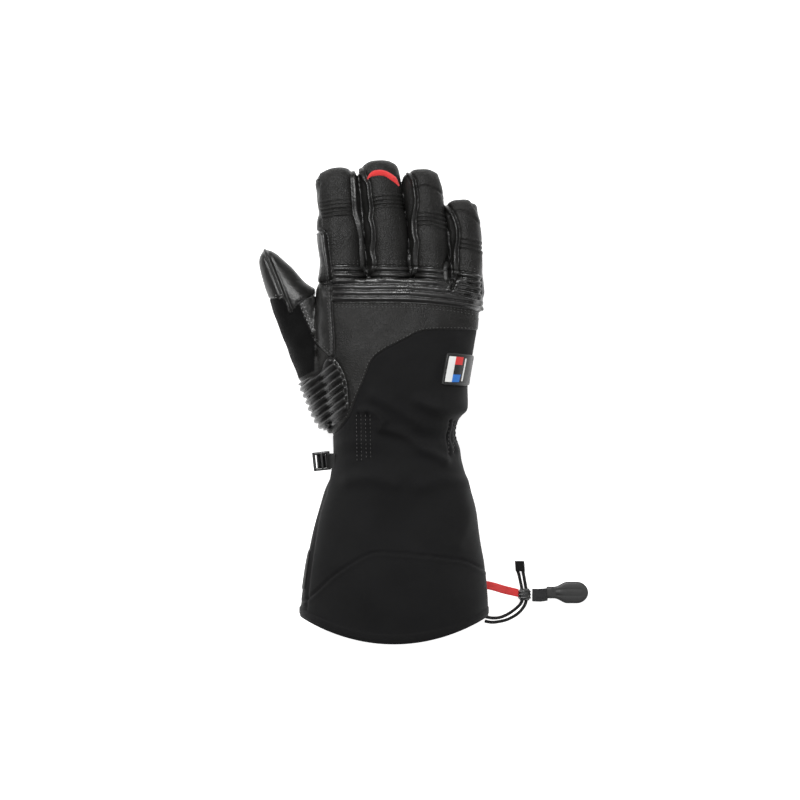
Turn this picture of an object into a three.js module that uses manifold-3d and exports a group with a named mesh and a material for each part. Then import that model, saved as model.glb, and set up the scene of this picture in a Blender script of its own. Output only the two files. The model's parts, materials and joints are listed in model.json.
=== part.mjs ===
// Ski glove, right hand, lying palm down. Millimetres, +Z up, fingers towards +Y, thumb towards -X.
// Everything is drawn with Y = 0 near the wrist, then moved so that the origin is under the palm patch.
// The glove is one family of nested volumes, volume(offset). A layer of material is the space between
// two offsets, and a piece is that layer inside the outline of the piece.
import * as THREE from 'three';
import { LoftGeometry } from 'three/addons/geometries/LoftGeometry.js';
import { mergeVertices } from 'three/addons/utils/BufferGeometryUtils.js';
import Module from 'manifold-3d';

const wasm = await Module();
wasm.setup();

// ---------- driving dimensions ----------
const GAP = 0.3; // between pieces that touch
const FAR = 400; // beyond the glove in any direction
const SHELL = 1.8; // outer leather or softshell
const LINER_OUTSIDE = -3.2;
const LINER_INSIDE = -5.0;
const TIP_WALL = 3.4; // a fingertip's shell and lining together
const OVERLAY = 1.5; // a piece sewn on top of the shell
const RIB = 2.6; // top of a padded rib above the shell
const PALM_PATCH = { low: 24, high: 88, thick: 2 };
const ORIGIN_Y = (PALM_PATCH.low + PALM_PATCH.high) / 2;

// The arm is the tube from the hem to the knuckles. A station has a left and right edge, a floor and a top.
const ARM = [
  { y: -146, left: -67, right: 59, floor: 0.3, top: 72 },
  { y: -112, left: -66.5, right: 58.7, floor: 0.3, top: 71 },
  { y: -80, left: -62, right: 56.5, floor: 0.6, top: 68 },
  { y: -47, left: -54.5, right: 50, floor: 2, top: 62 },
  { y: -14, left: -44.7, right: 40, floor: 4.5, top: 58 },
  { y: 8, left: -45, right: 38.6, floor: 4.5, top: 57 },
  { y: 27, left: -50, right: 43.3, floor: 3, top: 57 },
  { y: 58, left: -56, right: 48.5, floor: 2.4, top: 54 },
  { y: 82, left: -56.5, right: 52.5, floor: 2.4, top: 49 },
  { y: 99, left: -54.5, right: 53, floor: 4, top: 42 },
  { y: 105, left: -50, right: 50, floor: 9, top: 37 },
];
const ARM_SIDES = 20;
const ARM_SQUARENESS = 2.4; // 2 is an ellipse
const HEM_Y = -134;
const HEM_BOW = 17; // the hem's corners are this much nearer the hand than its middle
const HEM_HALF_WIDTH = 62;
const HEM_MIDDLE_X = -4;

const WRIST = { at: [-3, 3, 30], bendUp: 35, bendDown: 35 };

// A finger starts at the web, leans left by lean, and drops towards its tip.
const FINGER_DROP = 7.5;
const FINGER_SIDES = 12;
const FINGER_SQUARENESS = 2.3;
// middle is how far beyond the web its middle joint is; wide and thick are at the web and at the tip.
const INDEX = { name: 'index', web: [-37.5, 110.7, 22], lean: 4, length: 71.5, middle: 42 };
const MIDDLE = { name: 'middle', web: [-7, 110.7, 22.5], lean: 6.2, length: 77, middle: 45 };
const RING = { name: 'ring', web: [21.5, 107, 21.5], lean: 6.6, length: 75, middle: 39 };
const LITTLE = { name: 'little', web: [46, 100.7, 19], lean: 6, length: 60.5, middle: 26 };
const FINGERS = [
  { ...INDEX, wide: [30.5, 26], thick: [29, 23.5] },
  { ...MIDDLE, wide: [29, 24.5], thick: [29, 23.5] },
  { ...RING, wide: [25.6, 23.5], thick: [28, 23] },
  { ...LITTLE, wide: [19.6, 22], thick: [25, 20.5] },
];
const KNUCKLE_S = 7; // the knuckle hinge is this far beyond the web
const KNUCKLE_CURL = 55;
const MIDDLE_CURL = 70;
const FINGER_BACK = 5; // how far each finger joint bends backwards

// The thumb runs from the heel of the hand out to the left. half is half its width across its own line.
const THUMB_LEAN = 24;
const THUMB = [
  { x: -33, y: 8, z: 26, half: 12, thick: 24 },
  { x: -38, y: 18, z: 24, half: 18, thick: 34 },
  { x: -46, y: 36, z: 21, half: 18.5, thick: 36 },
  { x: -54, y: 54, z: 18.5, half: 17.5, thick: 33 },
  { x: -63, y: 75, z: 16.5, half: 16.8, thick: 30 },
  { x: -72, y: 95, z: 14.5, half: 15, thick: 27 },
];
const THUMB_TIP = { x: -88.5, y: 127, z: 13, round: 15 };
const THUMB_WALL_X = -60.5; // the thumb's side next to the index finger is flat, so that it can swing past
const THUMB_ROOT = { at: [-50.5, 48, 19], in: 45, out: 12 };
const THUMB_KNUCKLE = { at: [-73, 93, 15], in: 55, out: 5 };

const ELASTIC = { low: -28, high: -16 }; // along Y, between the cuff's shell and lining
const STRAP_Y = -14;
const STRAP = { wide: 10, thick: 1.4, off: 2.4 }; // off is how far out from the shell its middle lies
const BUCKLE = { at: [-52.8, STRAP_Y, 29.2], long: 11.6, wide: 12.6, thick: 3, slot: 3, rim: 2.2 };

// Drawcord set at the little-finger corner of the hem.
const CORD_D = 2.2;
const CORD_PLAY = 0.8; // round the cord in the hem's channel
const LOCK = { at: [83.7, -104, 4.2], size: [8.6, 8, 7] };
const RED_WEBBING = { wide: 5.4, thick: 1.2 };
const FOLDED_WEBBING = { wide: 8.6, thick: 2.4 };
const TAB = { neckX: 98.6, endX: 126.6, y: -102.8, neck: 4, half: 7, z: 0.9, thick: 3.2 };

// The channel for the drawcord in the hem: how far inside the hem's outside, and above its edge.
const CHANNEL_OUTSIDE = 1.6;
const CHANNEL_LOW = 2;

// ---------- helpers ----------
const radians = THREE.MathUtils.degToRad;

// A closed three.js geometry as a manifold solid, for cutting and joining.
function solid(geometry) {
  const bare = geometry.index ? geometry.toNonIndexed() : geometry.clone();
  bare.deleteAttribute('normal');
  bare.deleteAttribute('uv');
  const merged = mergeVertices(bare, 1e-4);
  const corners = merged.index.array;
  const triangles = [];
  for (let i = 0; i < corners.length; i += 3) {
    const [a, b, c] = corners.slice(i, i + 3);
    // A loft that closes to a point has triangles with two equal corners there.
    if (a !== b && b !== c && c !== a) {
      triangles.push(a, b, c);
    }
  }
  return new wasm.Manifold(
    new wasm.Mesh({
      numProp: 3,
      vertProperties: Float32Array.from(merged.attributes.position.array),
      triVerts: Uint32Array.from(triangles),
    }),
  );
}

function geometryOf(body) {
  const mesh = body.getMesh();
  const geometry = new THREE.BufferGeometry();
  geometry.setAttribute('position', new THREE.BufferAttribute(Float32Array.from(mesh.vertProperties), 3));
  geometry.setIndex(new THREE.BufferAttribute(Uint32Array.from(mesh.triVerts), 1));
  geometry.translate(0, -ORIGIN_Y, 0);
  return geometry;
}

function unionOf(bodies) {
  return bodies.reduce((sum, body) => sum.add(body));
}

// A layer cut by seams can leave slivers, so the piece is its largest part.
function largest(body) {
  const parts = body.decompose();
  return parts.reduce((best, part) => (part.volume() > best.volume() ? part : best));
}

// One superellipse ring: centre, the two half axes as vectors, and how square it is.
function ring(centre, across, up, sides, squareness) {
  const points = [];
  for (let k = 0; k < sides; k++) {
    const angle = (2 * Math.PI * (k + 0.5)) / sides;
    const c = Math.cos(angle);
    const s = Math.sin(angle);
    const a = Math.sign(c) * Math.abs(c) ** (2 / squareness);
    const b = Math.sign(s) * Math.abs(s) ** (2 / squareness);
    points.push(centre.clone().addScaledVector(across, a).addScaledVector(up, b));
  }
  return points;
}

// A prism of an outline in the XY plane, from z0 to z1.
function prism(outline, z0 = -FAR, z1 = FAR) {
  const geometry = new THREE.ExtrudeGeometry(new THREE.Shape(outline), {
    depth: z1 - z0,
    bevelEnabled: false,
    steps: 1,
  });
  geometry.translate(0, 0, z0);
  return solid(geometry);
}

function outlineOf(points) {
  return points.map(([x, y]) => new THREE.Vector2(x, y));
}

// Everything to one side of a seam. A seam is a smooth curve in the XY plane that crosses the whole piece.
// far points to the side that is kept, and half the gap is taken from it.
function sideOf(seam, far) {
  const count = 3 * seam.length;
  const curve = new THREE.SplineCurve(outlineOf(seam));
  const points = curve.getPoints(count).map((point, i) => {
    const tangent = curve.getTangent(i / count);
    const normal = new THREE.Vector2(-tangent.y, tangent.x);
    const turn = Math.sign(normal.x * far[0] + normal.y * far[1]);
    return point.addScaledVector(normal, (turn * GAP) / 2);
  });
  const away = new THREE.Vector2(...far);
  const first = points[0].clone().add(away);
  const last = points[points.length - 1].clone().add(away);
  return prism([...points, last, first]);
}

function box(low, high) {
  const size = high.map((v, i) => v - low[i]);
  const geometry = new THREE.BoxGeometry(...size);
  geometry.translate(low[0] + size[0] / 2, low[1] + size[1] / 2, low[2] + size[2] / 2);
  return solid(geometry);
}

const above = (z) => box([-FAR, -FAR, z + GAP / 2], [FAR, FAR, FAR]);
const below = (z) => box([-FAR, -FAR, -FAR], [FAR, FAR, z - GAP / 2]);

// The frame of a limb: along it, across it to the right, and up.
function limbFrame(leanDegrees, dropDegrees) {
  const lean = radians(leanDegrees);
  const drop = radians(dropDegrees);
  const along = new THREE.Vector3(-Math.sin(lean), Math.cos(lean), -Math.tan(drop)).normalize();
  const across = new THREE.Vector3(Math.cos(lean), Math.sin(lean), 0);
  const up = new THREE.Vector3().crossVectors(across, along);
  return { along, across, up };
}

// The space on one side of a hinge, cut back so that both sides can turn: palm degrees towards the palm
// and back degrees towards the back of the hand. side is +1 beyond the hinge and -1 before it.
function sideOfHinge(at, frame, palm, back, side) {
  const opening = (degrees) => Math.tan(radians(degrees / 2 + 1)) * FAR;
  const start = side * GAP;
  const outline = [
    [start, 0],
    [start + side * opening(back), FAR],
    [side * 2 * FAR, FAR],
    [side * 2 * FAR, -FAR],
    [start + side * opening(palm), -FAR],
  ];
  const geometry = new THREE.ExtrudeGeometry(new THREE.Shape(outlineOf(outline)), {
    depth: 2 * FAR,
    bevelEnabled: false,
    steps: 1,
  });
  geometry.translate(0, 0, -FAR);
  geometry.applyMatrix4(new THREE.Matrix4().makeBasis(frame.along, frame.up, frame.across));
  geometry.translate(...at);
  return solid(geometry);
}

// ---------- the volumes ----------
function armVolume(offset) {
  const rings = ARM.map(({ y, left, right, floor, top }, i) => {
    const atEnd = i === ARM.length - 1 ? offset : 0;
    const centre = new THREE.Vector3((left + right) / 2, y + atEnd, (floor + top) / 2);
    const across = new THREE.Vector3((right - left) / 2 + offset, 0, 0);
    const up = new THREE.Vector3(0, 0, (top - floor) / 2 + offset);
    return ring(centre, across, up, ARM_SIDES, ARM_SQUARENESS);
  });
  return loft(rings);
}

// A loft through rings, closed at each end by a flat fan to the ring's middle.
function loft(rings) {
  const middle = (points) => {
    const sum = points.reduce((total, point) => total.add(point), new THREE.Vector3());
    return points.map(() => sum.clone().divideScalar(points.length));
  };
  const sections = [middle(rings[0]), ...rings, middle(rings[rings.length - 1])];
  const body = solid(new LoftGeometry(sections));
  // Rings that wind the other way round make it inside out.
  return body.volume() > 0 ? body : solid(new LoftGeometry(sections.reverse()));
}

// Rings that close a round tip: each is narrower by the profile of a quarter circle.
const TIP_ANGLES = [0, 32, 58, 80];

function fingerFrame(finger) {
  return limbFrame(finger.lean, FINGER_DROP);
}

function fingerVolume(finger, offset) {
  const { along, across, up } = fingerFrame(finger);
  const web = new THREE.Vector3(...finger.web);
  const roundness = finger.thick[1] / 2 + 1;
  const straight = finger.length - roundness;
  const inside = -15 - offset;
  const at = (s, shrink) => {
    const t = THREE.MathUtils.clamp(s / finger.length, 0, 1);
    const half = THREE.MathUtils.lerp(finger.wide[0], finger.wide[1], t) / 2 + offset;
    const thick = THREE.MathUtils.lerp(finger.thick[0], finger.thick[1], t) / 2 + offset;
    const centre = web.clone().addScaledVector(along, s);
    const a = across.clone().multiplyScalar(half * shrink);
    const b = up.clone().multiplyScalar(thick * shrink);
    return ring(centre, a, b, FINGER_SIDES, FINGER_SQUARENESS);
  };
  // The first ring is out of sight in the palm.
  const rings = [at(inside, 0.7), at(0, 1), at(straight * 0.5, 1)];
  for (const angle of TIP_ANGLES) {
    const a = radians(angle);
    rings.push(at(straight + (roundness + offset) * Math.sin(a), Math.cos(a)));
  }
  return loft(rings);
}

const THUMB_FRAME = limbFrame(THUMB_LEAN, 3);

function thumbVolume(offset) {
  const { across, along, up } = THUMB_FRAME;
  const rings = THUMB.map(({ x, y, z, half, thick }) => {
    const a = across.clone().multiplyScalar(half + offset);
    const b = up.clone().multiplyScalar(thick / 2 + offset);
    return ring(new THREE.Vector3(x, y, z), a, b, FINGER_SIDES, FINGER_SQUARENESS);
  });
  const last = THUMB[THUMB.length - 1];
  const tip = new THREE.Vector3(THUMB_TIP.x, THUMB_TIP.y, THUMB_TIP.z);
  const knuckle = new THREE.Vector3(last.x, last.y, last.z);
  const reach = tip.clone().sub(knuckle).dot(along) - THUMB_TIP.round;
  for (const angle of TIP_ANGLES) {
    const a = radians(angle);
    const s = reach + (THUMB_TIP.round + offset) * Math.sin(a);
    const shrink = Math.cos(a);
    const centre = knuckle.clone().addScaledVector(along, s);
    rings.push(
      ring(
        centre,
        across.clone().multiplyScalar((last.half - 2 + offset) * shrink),
        up.clone().multiplyScalar((last.thick / 2 - 1 + offset) * shrink),
        FINGER_SIDES,
        FINGER_SQUARENESS,
      ),
    );
  }
  return loft(rings);
}

// The moving thumb keeps clear of the side of the hand.
function thumbBeyondRoot(offset) {
  const wall = THUMB_WALL_X + offset;
  return thumbVolume(offset).intersect(box([-FAR, -FAR, -FAR], [wall, FAR, FAR]));
}

// ---------- the hinges' cutting spaces ----------
const STRAIGHT = limbFrame(0, 0);
const beyondWrist = sideOfHinge(WRIST.at, STRAIGHT, WRIST.bendDown, WRIST.bendUp, 1);
const beforeWrist = sideOfHinge(WRIST.at, STRAIGHT, WRIST.bendDown, WRIST.bendUp, -1);

function fingerHinge(finger, s) {
  const { along } = fingerFrame(finger);
  return new THREE.Vector3(...finger.web).addScaledVector(along, s).toArray();
}

function knuckleSide(finger, side) {
  const at = fingerHinge(finger, KNUCKLE_S);
  return sideOfHinge(at, fingerFrame(finger), KNUCKLE_CURL, FINGER_BACK, side);
}

function middleSide(finger, side) {
  const at = fingerHinge(finger, finger.middle);
  return sideOfHinge(at, fingerFrame(finger), MIDDLE_CURL, FINGER_BACK, side);
}

const thumbSide = (hinge, side) => sideOfHinge(hinge.at, THUMB_FRAME, hinge.in, hinge.out, side);
const thumbRootSide = (side) => thumbSide(THUMB_ROOT, side);
const thumbTipSide = (side) => thumbSide(THUMB_KNUCKLE, side);

// ---------- the hand and cuff as nested solids ----------
function handOuter(offset) {
  const room = 1.2; // round each finger, where it curls past the end of the palm
  const stubs = FINGERS.map((finger) => fingerVolume(finger, offset).intersect(knuckleSide(finger, -1)));
  const curledPart = (finger) => fingerVolume(finger, offset + room).subtract(knuckleSide(finger, -1));
  const palm = armVolume(offset).subtract(unionOf(FINGERS.map(curledPart)));
  const root = thumbVolume(offset).intersect(thumbRootSide(-1));
  return unionOf([palm, ...stubs, root]).intersect(beyondWrist);
}

function wholeVolume(offset) {
  const fingers = FINGERS.map((finger) => fingerVolume(finger, offset));
  return unionOf([armVolume(offset), ...fingers, thumbVolume(offset)]);
}

// How far the bowed hem is from its lowest line, at x.
function hemBow(x) {
  const u = (x - HEM_MIDDLE_X) / HEM_HALF_WIDTH;
  return HEM_BOW * u * u;
}

// Everything on the hand's side of a line that runs level with the hem, height above it.
function aboveHem(height) {
  const steps = 12;
  const reach = HEM_HALF_WIDTH + 12;
  const points = [];
  for (let i = 0; i <= steps; i++) {
    const x = HEM_MIDDLE_X + reach * ((2 * i) / steps - 1);
    points.push([x, HEM_Y + height + hemBow(x)]);
  }
  return prism(outlineOf([...points, [FAR, FAR], [-FAR, FAR]]));
}

const HEM_BAND = 7; // height of the binding round the hem
const cuffOuter = (offset) => armVolume(offset).intersect(beforeWrist);

const layer = {
  handShell: handOuter(0).subtract(wholeVolume(-SHELL)),
  handLiner: handOuter(LINER_OUTSIDE).subtract(wholeVolume(LINER_INSIDE)),
  handOverlay: handOuter(OVERLAY).subtract(wholeVolume(GAP)),
  cuffShell: cuffOuter(0).subtract(armVolume(-SHELL)),
  cuffOverlay: cuffOuter(OVERLAY).subtract(armVolume(GAP)),
};

// ---------- seams, seen from above ----------
const SOFTSHELL_SEAM = [[75, 73.6], [18, 73], [-12, 59], [-24, 40], [-37, 8], [-44, -12]];
const SIDE_SEAM = [[-46, -2], [-49, -32], [-54.7, -54], [-61.3, -104.7], [-64, -150]];
const HEM_SEAM = [
  [-110, -150], [-61.3, -104.7], [-26.7, -77.3], [-14, -73.5],
  [30, -76.5], [56, -86], [90, -104],
];
const SIDE_STRIP_SEAM = [[-46.5, 125], [-46.5, 75], [-44.5, 55], [-52, 30]];
// Where a back panel meets the palm side or the gusset.
const HAND_SIDE_Z = 25;
const CUFF_SIDE_Z = 32;
const GUSSET_LOW_Z = 16;
const TAG_LOW_Z = 38;

// ---------- outlines of the pieces sewn on top, seen from above ----------
const KNUCKLE_OUTLINE = [
  [-45.5, 92],
  [-45.5, 115],
  [34, 111.5],
  [34, 105],
  [56, 104],
  [56, 87.2],
  [20, 89.5],
  [-20, 91.5],
];
const KNUCKLE_RIBS = { from: [0, 90], dir: [1, -0.06], pitch: 4.2, count: 6, width: 3.2 };
const THUMB_BASE_OUTLINE = [
  [-51, 47], [-43.6, 53.6], [-36.7, 41.7], [-34.7, 19.3],
  [-44, 11], [-70, 11], [-70, 38],
];
const THUMB_BASE_RIBS = { from: [-46, 6], dir: [1, 0.75], pitch: 4.4, count: 11, width: 3.2 };
const THUMB_PATCH_OUTLINE = [[-75, 95], [-62, 97], [-62.5, 72], [-70, 74]];
const RUBBER_PATCH_OUTLINE = [[30.7, 58.3], [49.5, 56.7], [45.5, 36], [26.7, 36.3]];
const TAG_OUTLINE = [[-58.8, -72], [-63.5, -72.8], [-67.5, -99.5], [-62.4, -99.5]];
const PIPING_TOP = [[-40, 176], [-22, 180.2], [-8, 178], [6, 164]];
const PIPING_BOTTOM = [[-40, 172], [-22, 176.2], [-8, 174], [6, 160]];
const STRIP_SPAN = { low: 68, cross: 112, crossTop: 118, high: 138.7 }; // along Y

// ---------- materials ----------
const finish = (color, roughness, metalness = 0) => ({ color, roughness, metalness });
const GRAIN_LEATHER = finish(0x1b1a1a, 0.5);
const SMOOTH_LEATHER = finish(0x202022, 0.4);
const SOFTSHELL = finish(0x17181a, 0.9);
const SUEDE = finish(0x0c0c0d, 1);
const FLEECE = finish(0x3a3b3f, 1);
const RED = finish(0xd8232f, 0.7);
const WEBBING = finish(0x141415, 0.85);
const GREY_WEBBING = finish(0x5a5b5e, 0.8);
const PLASTIC = finish(0x101112, 0.25);
const RUBBER = finish(0x2b2c2e, 0.55);
const PATCH = finish(0x202225, 0.45);

const glove = new THREE.Group();

function add(name, body, look) {
  const mesh = new THREE.Mesh(geometryOf(body), new THREE.MeshStandardMaterial(look));
  mesh.name = name;
  glove.add(mesh);
  return mesh;
}

const BAR_REACH = 90; // either way from a bar's middle, past the widest ribbed panel

// Stripes across an outline: each rib is a box along dir, pitch apart, starting at from.
function stripes({ from, dir, pitch, count, width }) {
  const along = new THREE.Vector2(...dir).normalize();
  const step = new THREE.Vector2(-along.y, along.x);
  const bars = [];
  for (let k = 0; k < count; k++) {
    const middle = new THREE.Vector2(...from).addScaledVector(step, pitch * (k + 0.5));
    const reach = along.clone().multiplyScalar(BAR_REACH);
    const half = step.clone().multiplyScalar(width / 2);
    const near = middle.clone().sub(half);
    const far = middle.clone().add(half);
    const corners = [near.clone().sub(reach), near.add(reach), far.clone().add(reach), far.sub(reach)];
    bars.push(prism(corners, HAND_SIDE_Z / 2));
  }
  return unionOf(bars);
}

// A padded panel over the back of the hand: a thin base all over its outline, with raised ribs.
function ribbedPanel(outline, ribs) {
  const base = handOuter(OVERLAY);
  const raised = handOuter(RIB).intersect(stripes(ribs));
  return base.add(raised).intersect(outline).subtract(wholeVolume(GAP));
}

function buildHand() {
  const back = layer.handShell.intersect(above(HAND_SIDE_Z));
  const leather = back.intersect(sideOf(SOFTSHELL_SEAM, [-FAR, FAR]));
  const softshell = back.intersect(sideOf(SOFTSHELL_SEAM, [FAR, -FAR]));
  add('back_of_hand', largest(leather), GRAIN_LEATHER);
  add('softshell_back', largest(softshell), SOFTSHELL);
  add('palm_panel', largest(layer.handShell.intersect(below(HAND_SIDE_Z))), SMOOTH_LEATHER);
  add('hand_liner', largest(layer.handLiner), FLEECE);

  const knuckles = prism(outlineOf(KNUCKLE_OUTLINE), HAND_SIDE_Z);
  add('knuckle_ribs', largest(ribbedPanel(knuckles, KNUCKLE_RIBS)), SMOOTH_LEATHER);
  const thumbBase = prism(outlineOf(THUMB_BASE_OUTLINE), HAND_SIDE_Z);
  add('thumb_base_ribs', largest(ribbedPanel(thumbBase, THUMB_BASE_RIBS)), SMOOTH_LEATHER);

  const stripLow = HAND_SIDE_Z - 8; // the strip wraps round to the side of the hand
  const strip = layer.handOverlay
    .intersect(sideOf(SIDE_STRIP_SEAM, [-FAR, 0]))
    .intersect(box([-FAR, STRIP_SPAN.low, stripLow], [FAR, STRIP_SPAN.cross, FAR]));
  add('index_side_strip', largest(strip), SMOOTH_LEATHER);

  const patch = prism(outlineOf(RUBBER_PATCH_OUTLINE), HAND_SIDE_Z);
  add('rubber_patch', largest(layer.handOverlay.intersect(patch)), PATCH);

  const pad = new THREE.Shape();
  pad.moveTo(-30, PALM_PATCH.low);
  pad.quadraticCurveTo(-36, ORIGIN_Y, -34, PALM_PATCH.high);
  pad.lineTo(34, PALM_PATCH.high);
  pad.quadraticCurveTo(36, ORIGIN_Y, 22, PALM_PATCH.low);
  const extrude = { depth: PALM_PATCH.thick, bevelEnabled: false, curveSegments: 6 };
  const padGeometry = new THREE.ExtrudeGeometry(pad, extrude);
  add('palm_patch', solid(padGeometry), SUEDE);
}

function buildFinger(finger) {
  const { name } = finger;
  const outer = (offset) => fingerVolume(finger, offset);
  const beyondKnuckle = knuckleSide(finger, 1);
  const beforeMiddle = middleSide(finger, -1);
  const beyondMiddle = middleSide(finger, 1);
  const segment = (body) => body.intersect(beyondKnuckle).intersect(beforeMiddle);

  const shell = segment(outer(0)).subtract(outer(-SHELL));
  const seamHeight = 3;
  const dorsal = sideOfPlane(finger, seamHeight, 1);
  const palmar = sideOfPlane(finger, seamHeight, -1);
  add(`${name}_back`, largest(shell.intersect(dorsal)), GRAIN_LEATHER);
  add(`${name}_palm`, largest(shell.intersect(palmar)), SMOOTH_LEATHER);
  add(`${name}_liner`, largest(segment(outer(LINER_OUTSIDE)).subtract(outer(LINER_INSIDE))), FLEECE);

  const tip = outer(0).intersect(beyondMiddle).subtract(outer(-TIP_WALL));
  add(`${name}_tip`, largest(tip), SMOOTH_LEATHER);

  // The padded ribs over the finger's middle joint are one pad, sewn to the tip side of the joint.
  const pad = fingerPad(finger);
  add(`${name}_ribs`, largest(outer(OVERLAY).subtract(outer(GAP)).intersect(pad)), SMOOTH_LEATHER);
}

// The space above (+1) or below (-1) the finger's side seam.
function sideOfPlane(finger, height, side) {
  const { along, across, up } = fingerFrame(finger);
  const geometry = new THREE.BoxGeometry(FAR, FAR, FAR);
  geometry.translate(0, 0, side * (FAR / 2 + GAP / 2) + height);
  geometry.applyMatrix4(new THREE.Matrix4().makeBasis(across, along, up));
  geometry.translate(...finger.web);
  return solid(geometry);
}

// The space over the back of a finger that its ribbed pad is in, just beyond the middle hinge.
function fingerPad(finger) {
  const { along, across, up } = fingerFrame(finger);
  const long = 7;
  const start = 2.4; // clear of the hinge's opening
  const wide = finger.wide[1] - 2;
  const floor = 7; // above the finger's middle line
  const height = 20;
  const geometry = new THREE.BoxGeometry(wide, long, height);
  geometry.translate(0, start + long / 2, floor + height / 2);
  geometry.applyMatrix4(new THREE.Matrix4().makeBasis(across, along, up));
  geometry.translate(...fingerHinge(finger, finger.middle));
  return solid(geometry);
}

function buildIndexStrip() {
  const finger = FINGERS[0];
  const overlay = fingerVolume(finger, OVERLAY).subtract(fingerVolume(finger, GAP));
  const piece = overlay
    .intersect(knuckleSide(finger, 1))
    .intersect(above(finger.web[2]))
    .intersect(box([-FAR, STRIP_SPAN.crossTop, -FAR], [SIDE_STRIP_SEAM[0][0], STRIP_SPAN.high, FAR]));
  add('index_finger_strip', largest(piece), SMOOTH_LEATHER);
}

// Red piping across the tip of the middle finger.
function buildPiping() {
  const finger = FINGERS[1];
  const overlay = fingerVolume(finger, OVERLAY).subtract(fingerVolume(finger, GAP));
  const band = sideOf(PIPING_TOP, [0, -FAR]).intersect(sideOf(PIPING_BOTTOM, [0, FAR]));
  const sideZ = 15; // the piping ends part of the way down the finger's sides
  add('middle_piping', largest(overlay.intersect(band).intersect(above(sideZ))), RED);
}

function buildThumb() {
  const beyondRoot = thumbRootSide(1);
  const beforeKnuckle = thumbTipSide(-1);
  const beyondKnuckle = thumbTipSide(1);
  const segment = (body) => body.intersect(beyondRoot).intersect(beforeKnuckle);
  const shell = segment(thumbBeyondRoot(0)).subtract(thumbBeyondRoot(-SHELL));
  const seamZ = THUMB_ROOT.at[2];
  add('thumb_back', largest(shell.intersect(above(seamZ))), SUEDE);
  add('thumb_palm', largest(shell.intersect(below(seamZ))), SUEDE);
  const liner = segment(thumbBeyondRoot(LINER_OUTSIDE)).subtract(thumbBeyondRoot(LINER_INSIDE));
  add('thumb_liner', largest(liner), FLEECE);
  const tip = thumbBeyondRoot(0).intersect(beyondKnuckle).subtract(thumbBeyondRoot(-TIP_WALL));
  add('thumb_tip', largest(tip), SMOOTH_LEATHER);
  const overlay = segment(thumbBeyondRoot(OVERLAY)).subtract(thumbBeyondRoot(GAP));
  const patch = prism(outlineOf(THUMB_PATCH_OUTLINE), seamZ + 2);
  add('thumb_patch', largest(overlay.intersect(patch)), SMOOTH_LEATHER);
}

function buildCuff() {
  const keep = aboveHem(HEM_BAND + GAP);
  const shell = layer.cuffShell.intersect(keep);
  const inSide = sideOf(SIDE_SEAM, [-FAR, 0]);
  const outSide = sideOf(SIDE_SEAM, [FAR, 0]);
  const back = shell.intersect(above(CUFF_SIDE_Z)).intersect(outSide);
  add('gauntlet_back', largest(back.intersect(sideOf(HEM_SEAM, [0, FAR]))), SOFTSHELL);
  add('hem_panel', largest(back.intersect(sideOf(HEM_SEAM, [0, -FAR]))), SOFTSHELL);
  add('side_gusset', largest(shell.intersect(above(GUSSET_LOW_Z)).intersect(inSide)), SOFTSHELL);
  const gussetRoom = above(GUSSET_LOW_Z - GAP / 2).intersect(inSide.add(seamGap()));
  add('gauntlet_palm', largest(shell.intersect(below(CUFF_SIDE_Z)).subtract(gussetRoom)), SOFTSHELL);

  const liner = cuffOuter(LINER_OUTSIDE).subtract(armVolume(LINER_INSIDE)).intersect(keep);
  add('cuff_liner', largest(liner), FLEECE);

  const elastic = cuffOuter(-SHELL - GAP)
    .subtract(armVolume(LINER_OUTSIDE + GAP))
    .intersect(box([-FAR, ELASTIC.low, -FAR], [FAR, ELASTIC.high, FAR]));
  add('wrist_elastic', largest(elastic), WEBBING);

  const band = armVolume(0).subtract(armVolume(LINER_INSIDE)).intersect(aboveHem(0));
  const channelHigh = CHANNEL_LOW + CORD_D + 2 * CORD_PLAY;
  const channelBand = aboveHem(CHANNEL_LOW).subtract(aboveHem(channelHigh));
  const channel = channelBand.intersect(armVolume(-CHANNEL_OUTSIDE));
  const hem = band.subtract(aboveHem(HEM_BAND)).subtract(channel);
  add('hem_binding', largest(hem), SOFTSHELL);

  const tag = prism(outlineOf(TAG_OUTLINE), TAG_LOW_Z);
  add('side_tag', largest(layer.cuffOverlay.intersect(tag)), WEBBING);
}

// The width of the side seam itself, so that the palm panel stops short of it.
function seamGap() {
  const points = new THREE.SplineCurve(outlineOf(SIDE_SEAM)).getPoints(3 * SIDE_SEAM.length);
  const left = points.map((p) => [p.x - GAP, p.y]);
  const right = points.map((p) => [p.x + GAP / 2, p.y]).reverse();
  return prism(outlineOf([...left, ...right]));
}

// A flat strip along a path: wide along Y, and thick across the path.
function strap(path, wide, thick) {
  const curve = new THREE.CatmullRomCurve3(path.map((point) => new THREE.Vector3(...point)));
  const steps = 3 * path.length;
  const corners = [[1, 1], [-1, 1], [-1, -1], [1, -1]];
  const rings = [];
  for (let i = 0; i <= steps; i++) {
    const centre = curve.getPoint(i / steps);
    const tangent = curve.getTangent(i / steps);
    const normal = new THREE.Vector3(tangent.z, 0, -tangent.x).setLength(thick / 2);
    const side = new THREE.Vector3(0, wide / 2, 0);
    const corner = ([n, w]) => centre.clone().addScaledVector(normal, n).addScaledVector(side, w);
    rings.push(corners.map(corner));
  }
  return loft(rings);
}

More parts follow.
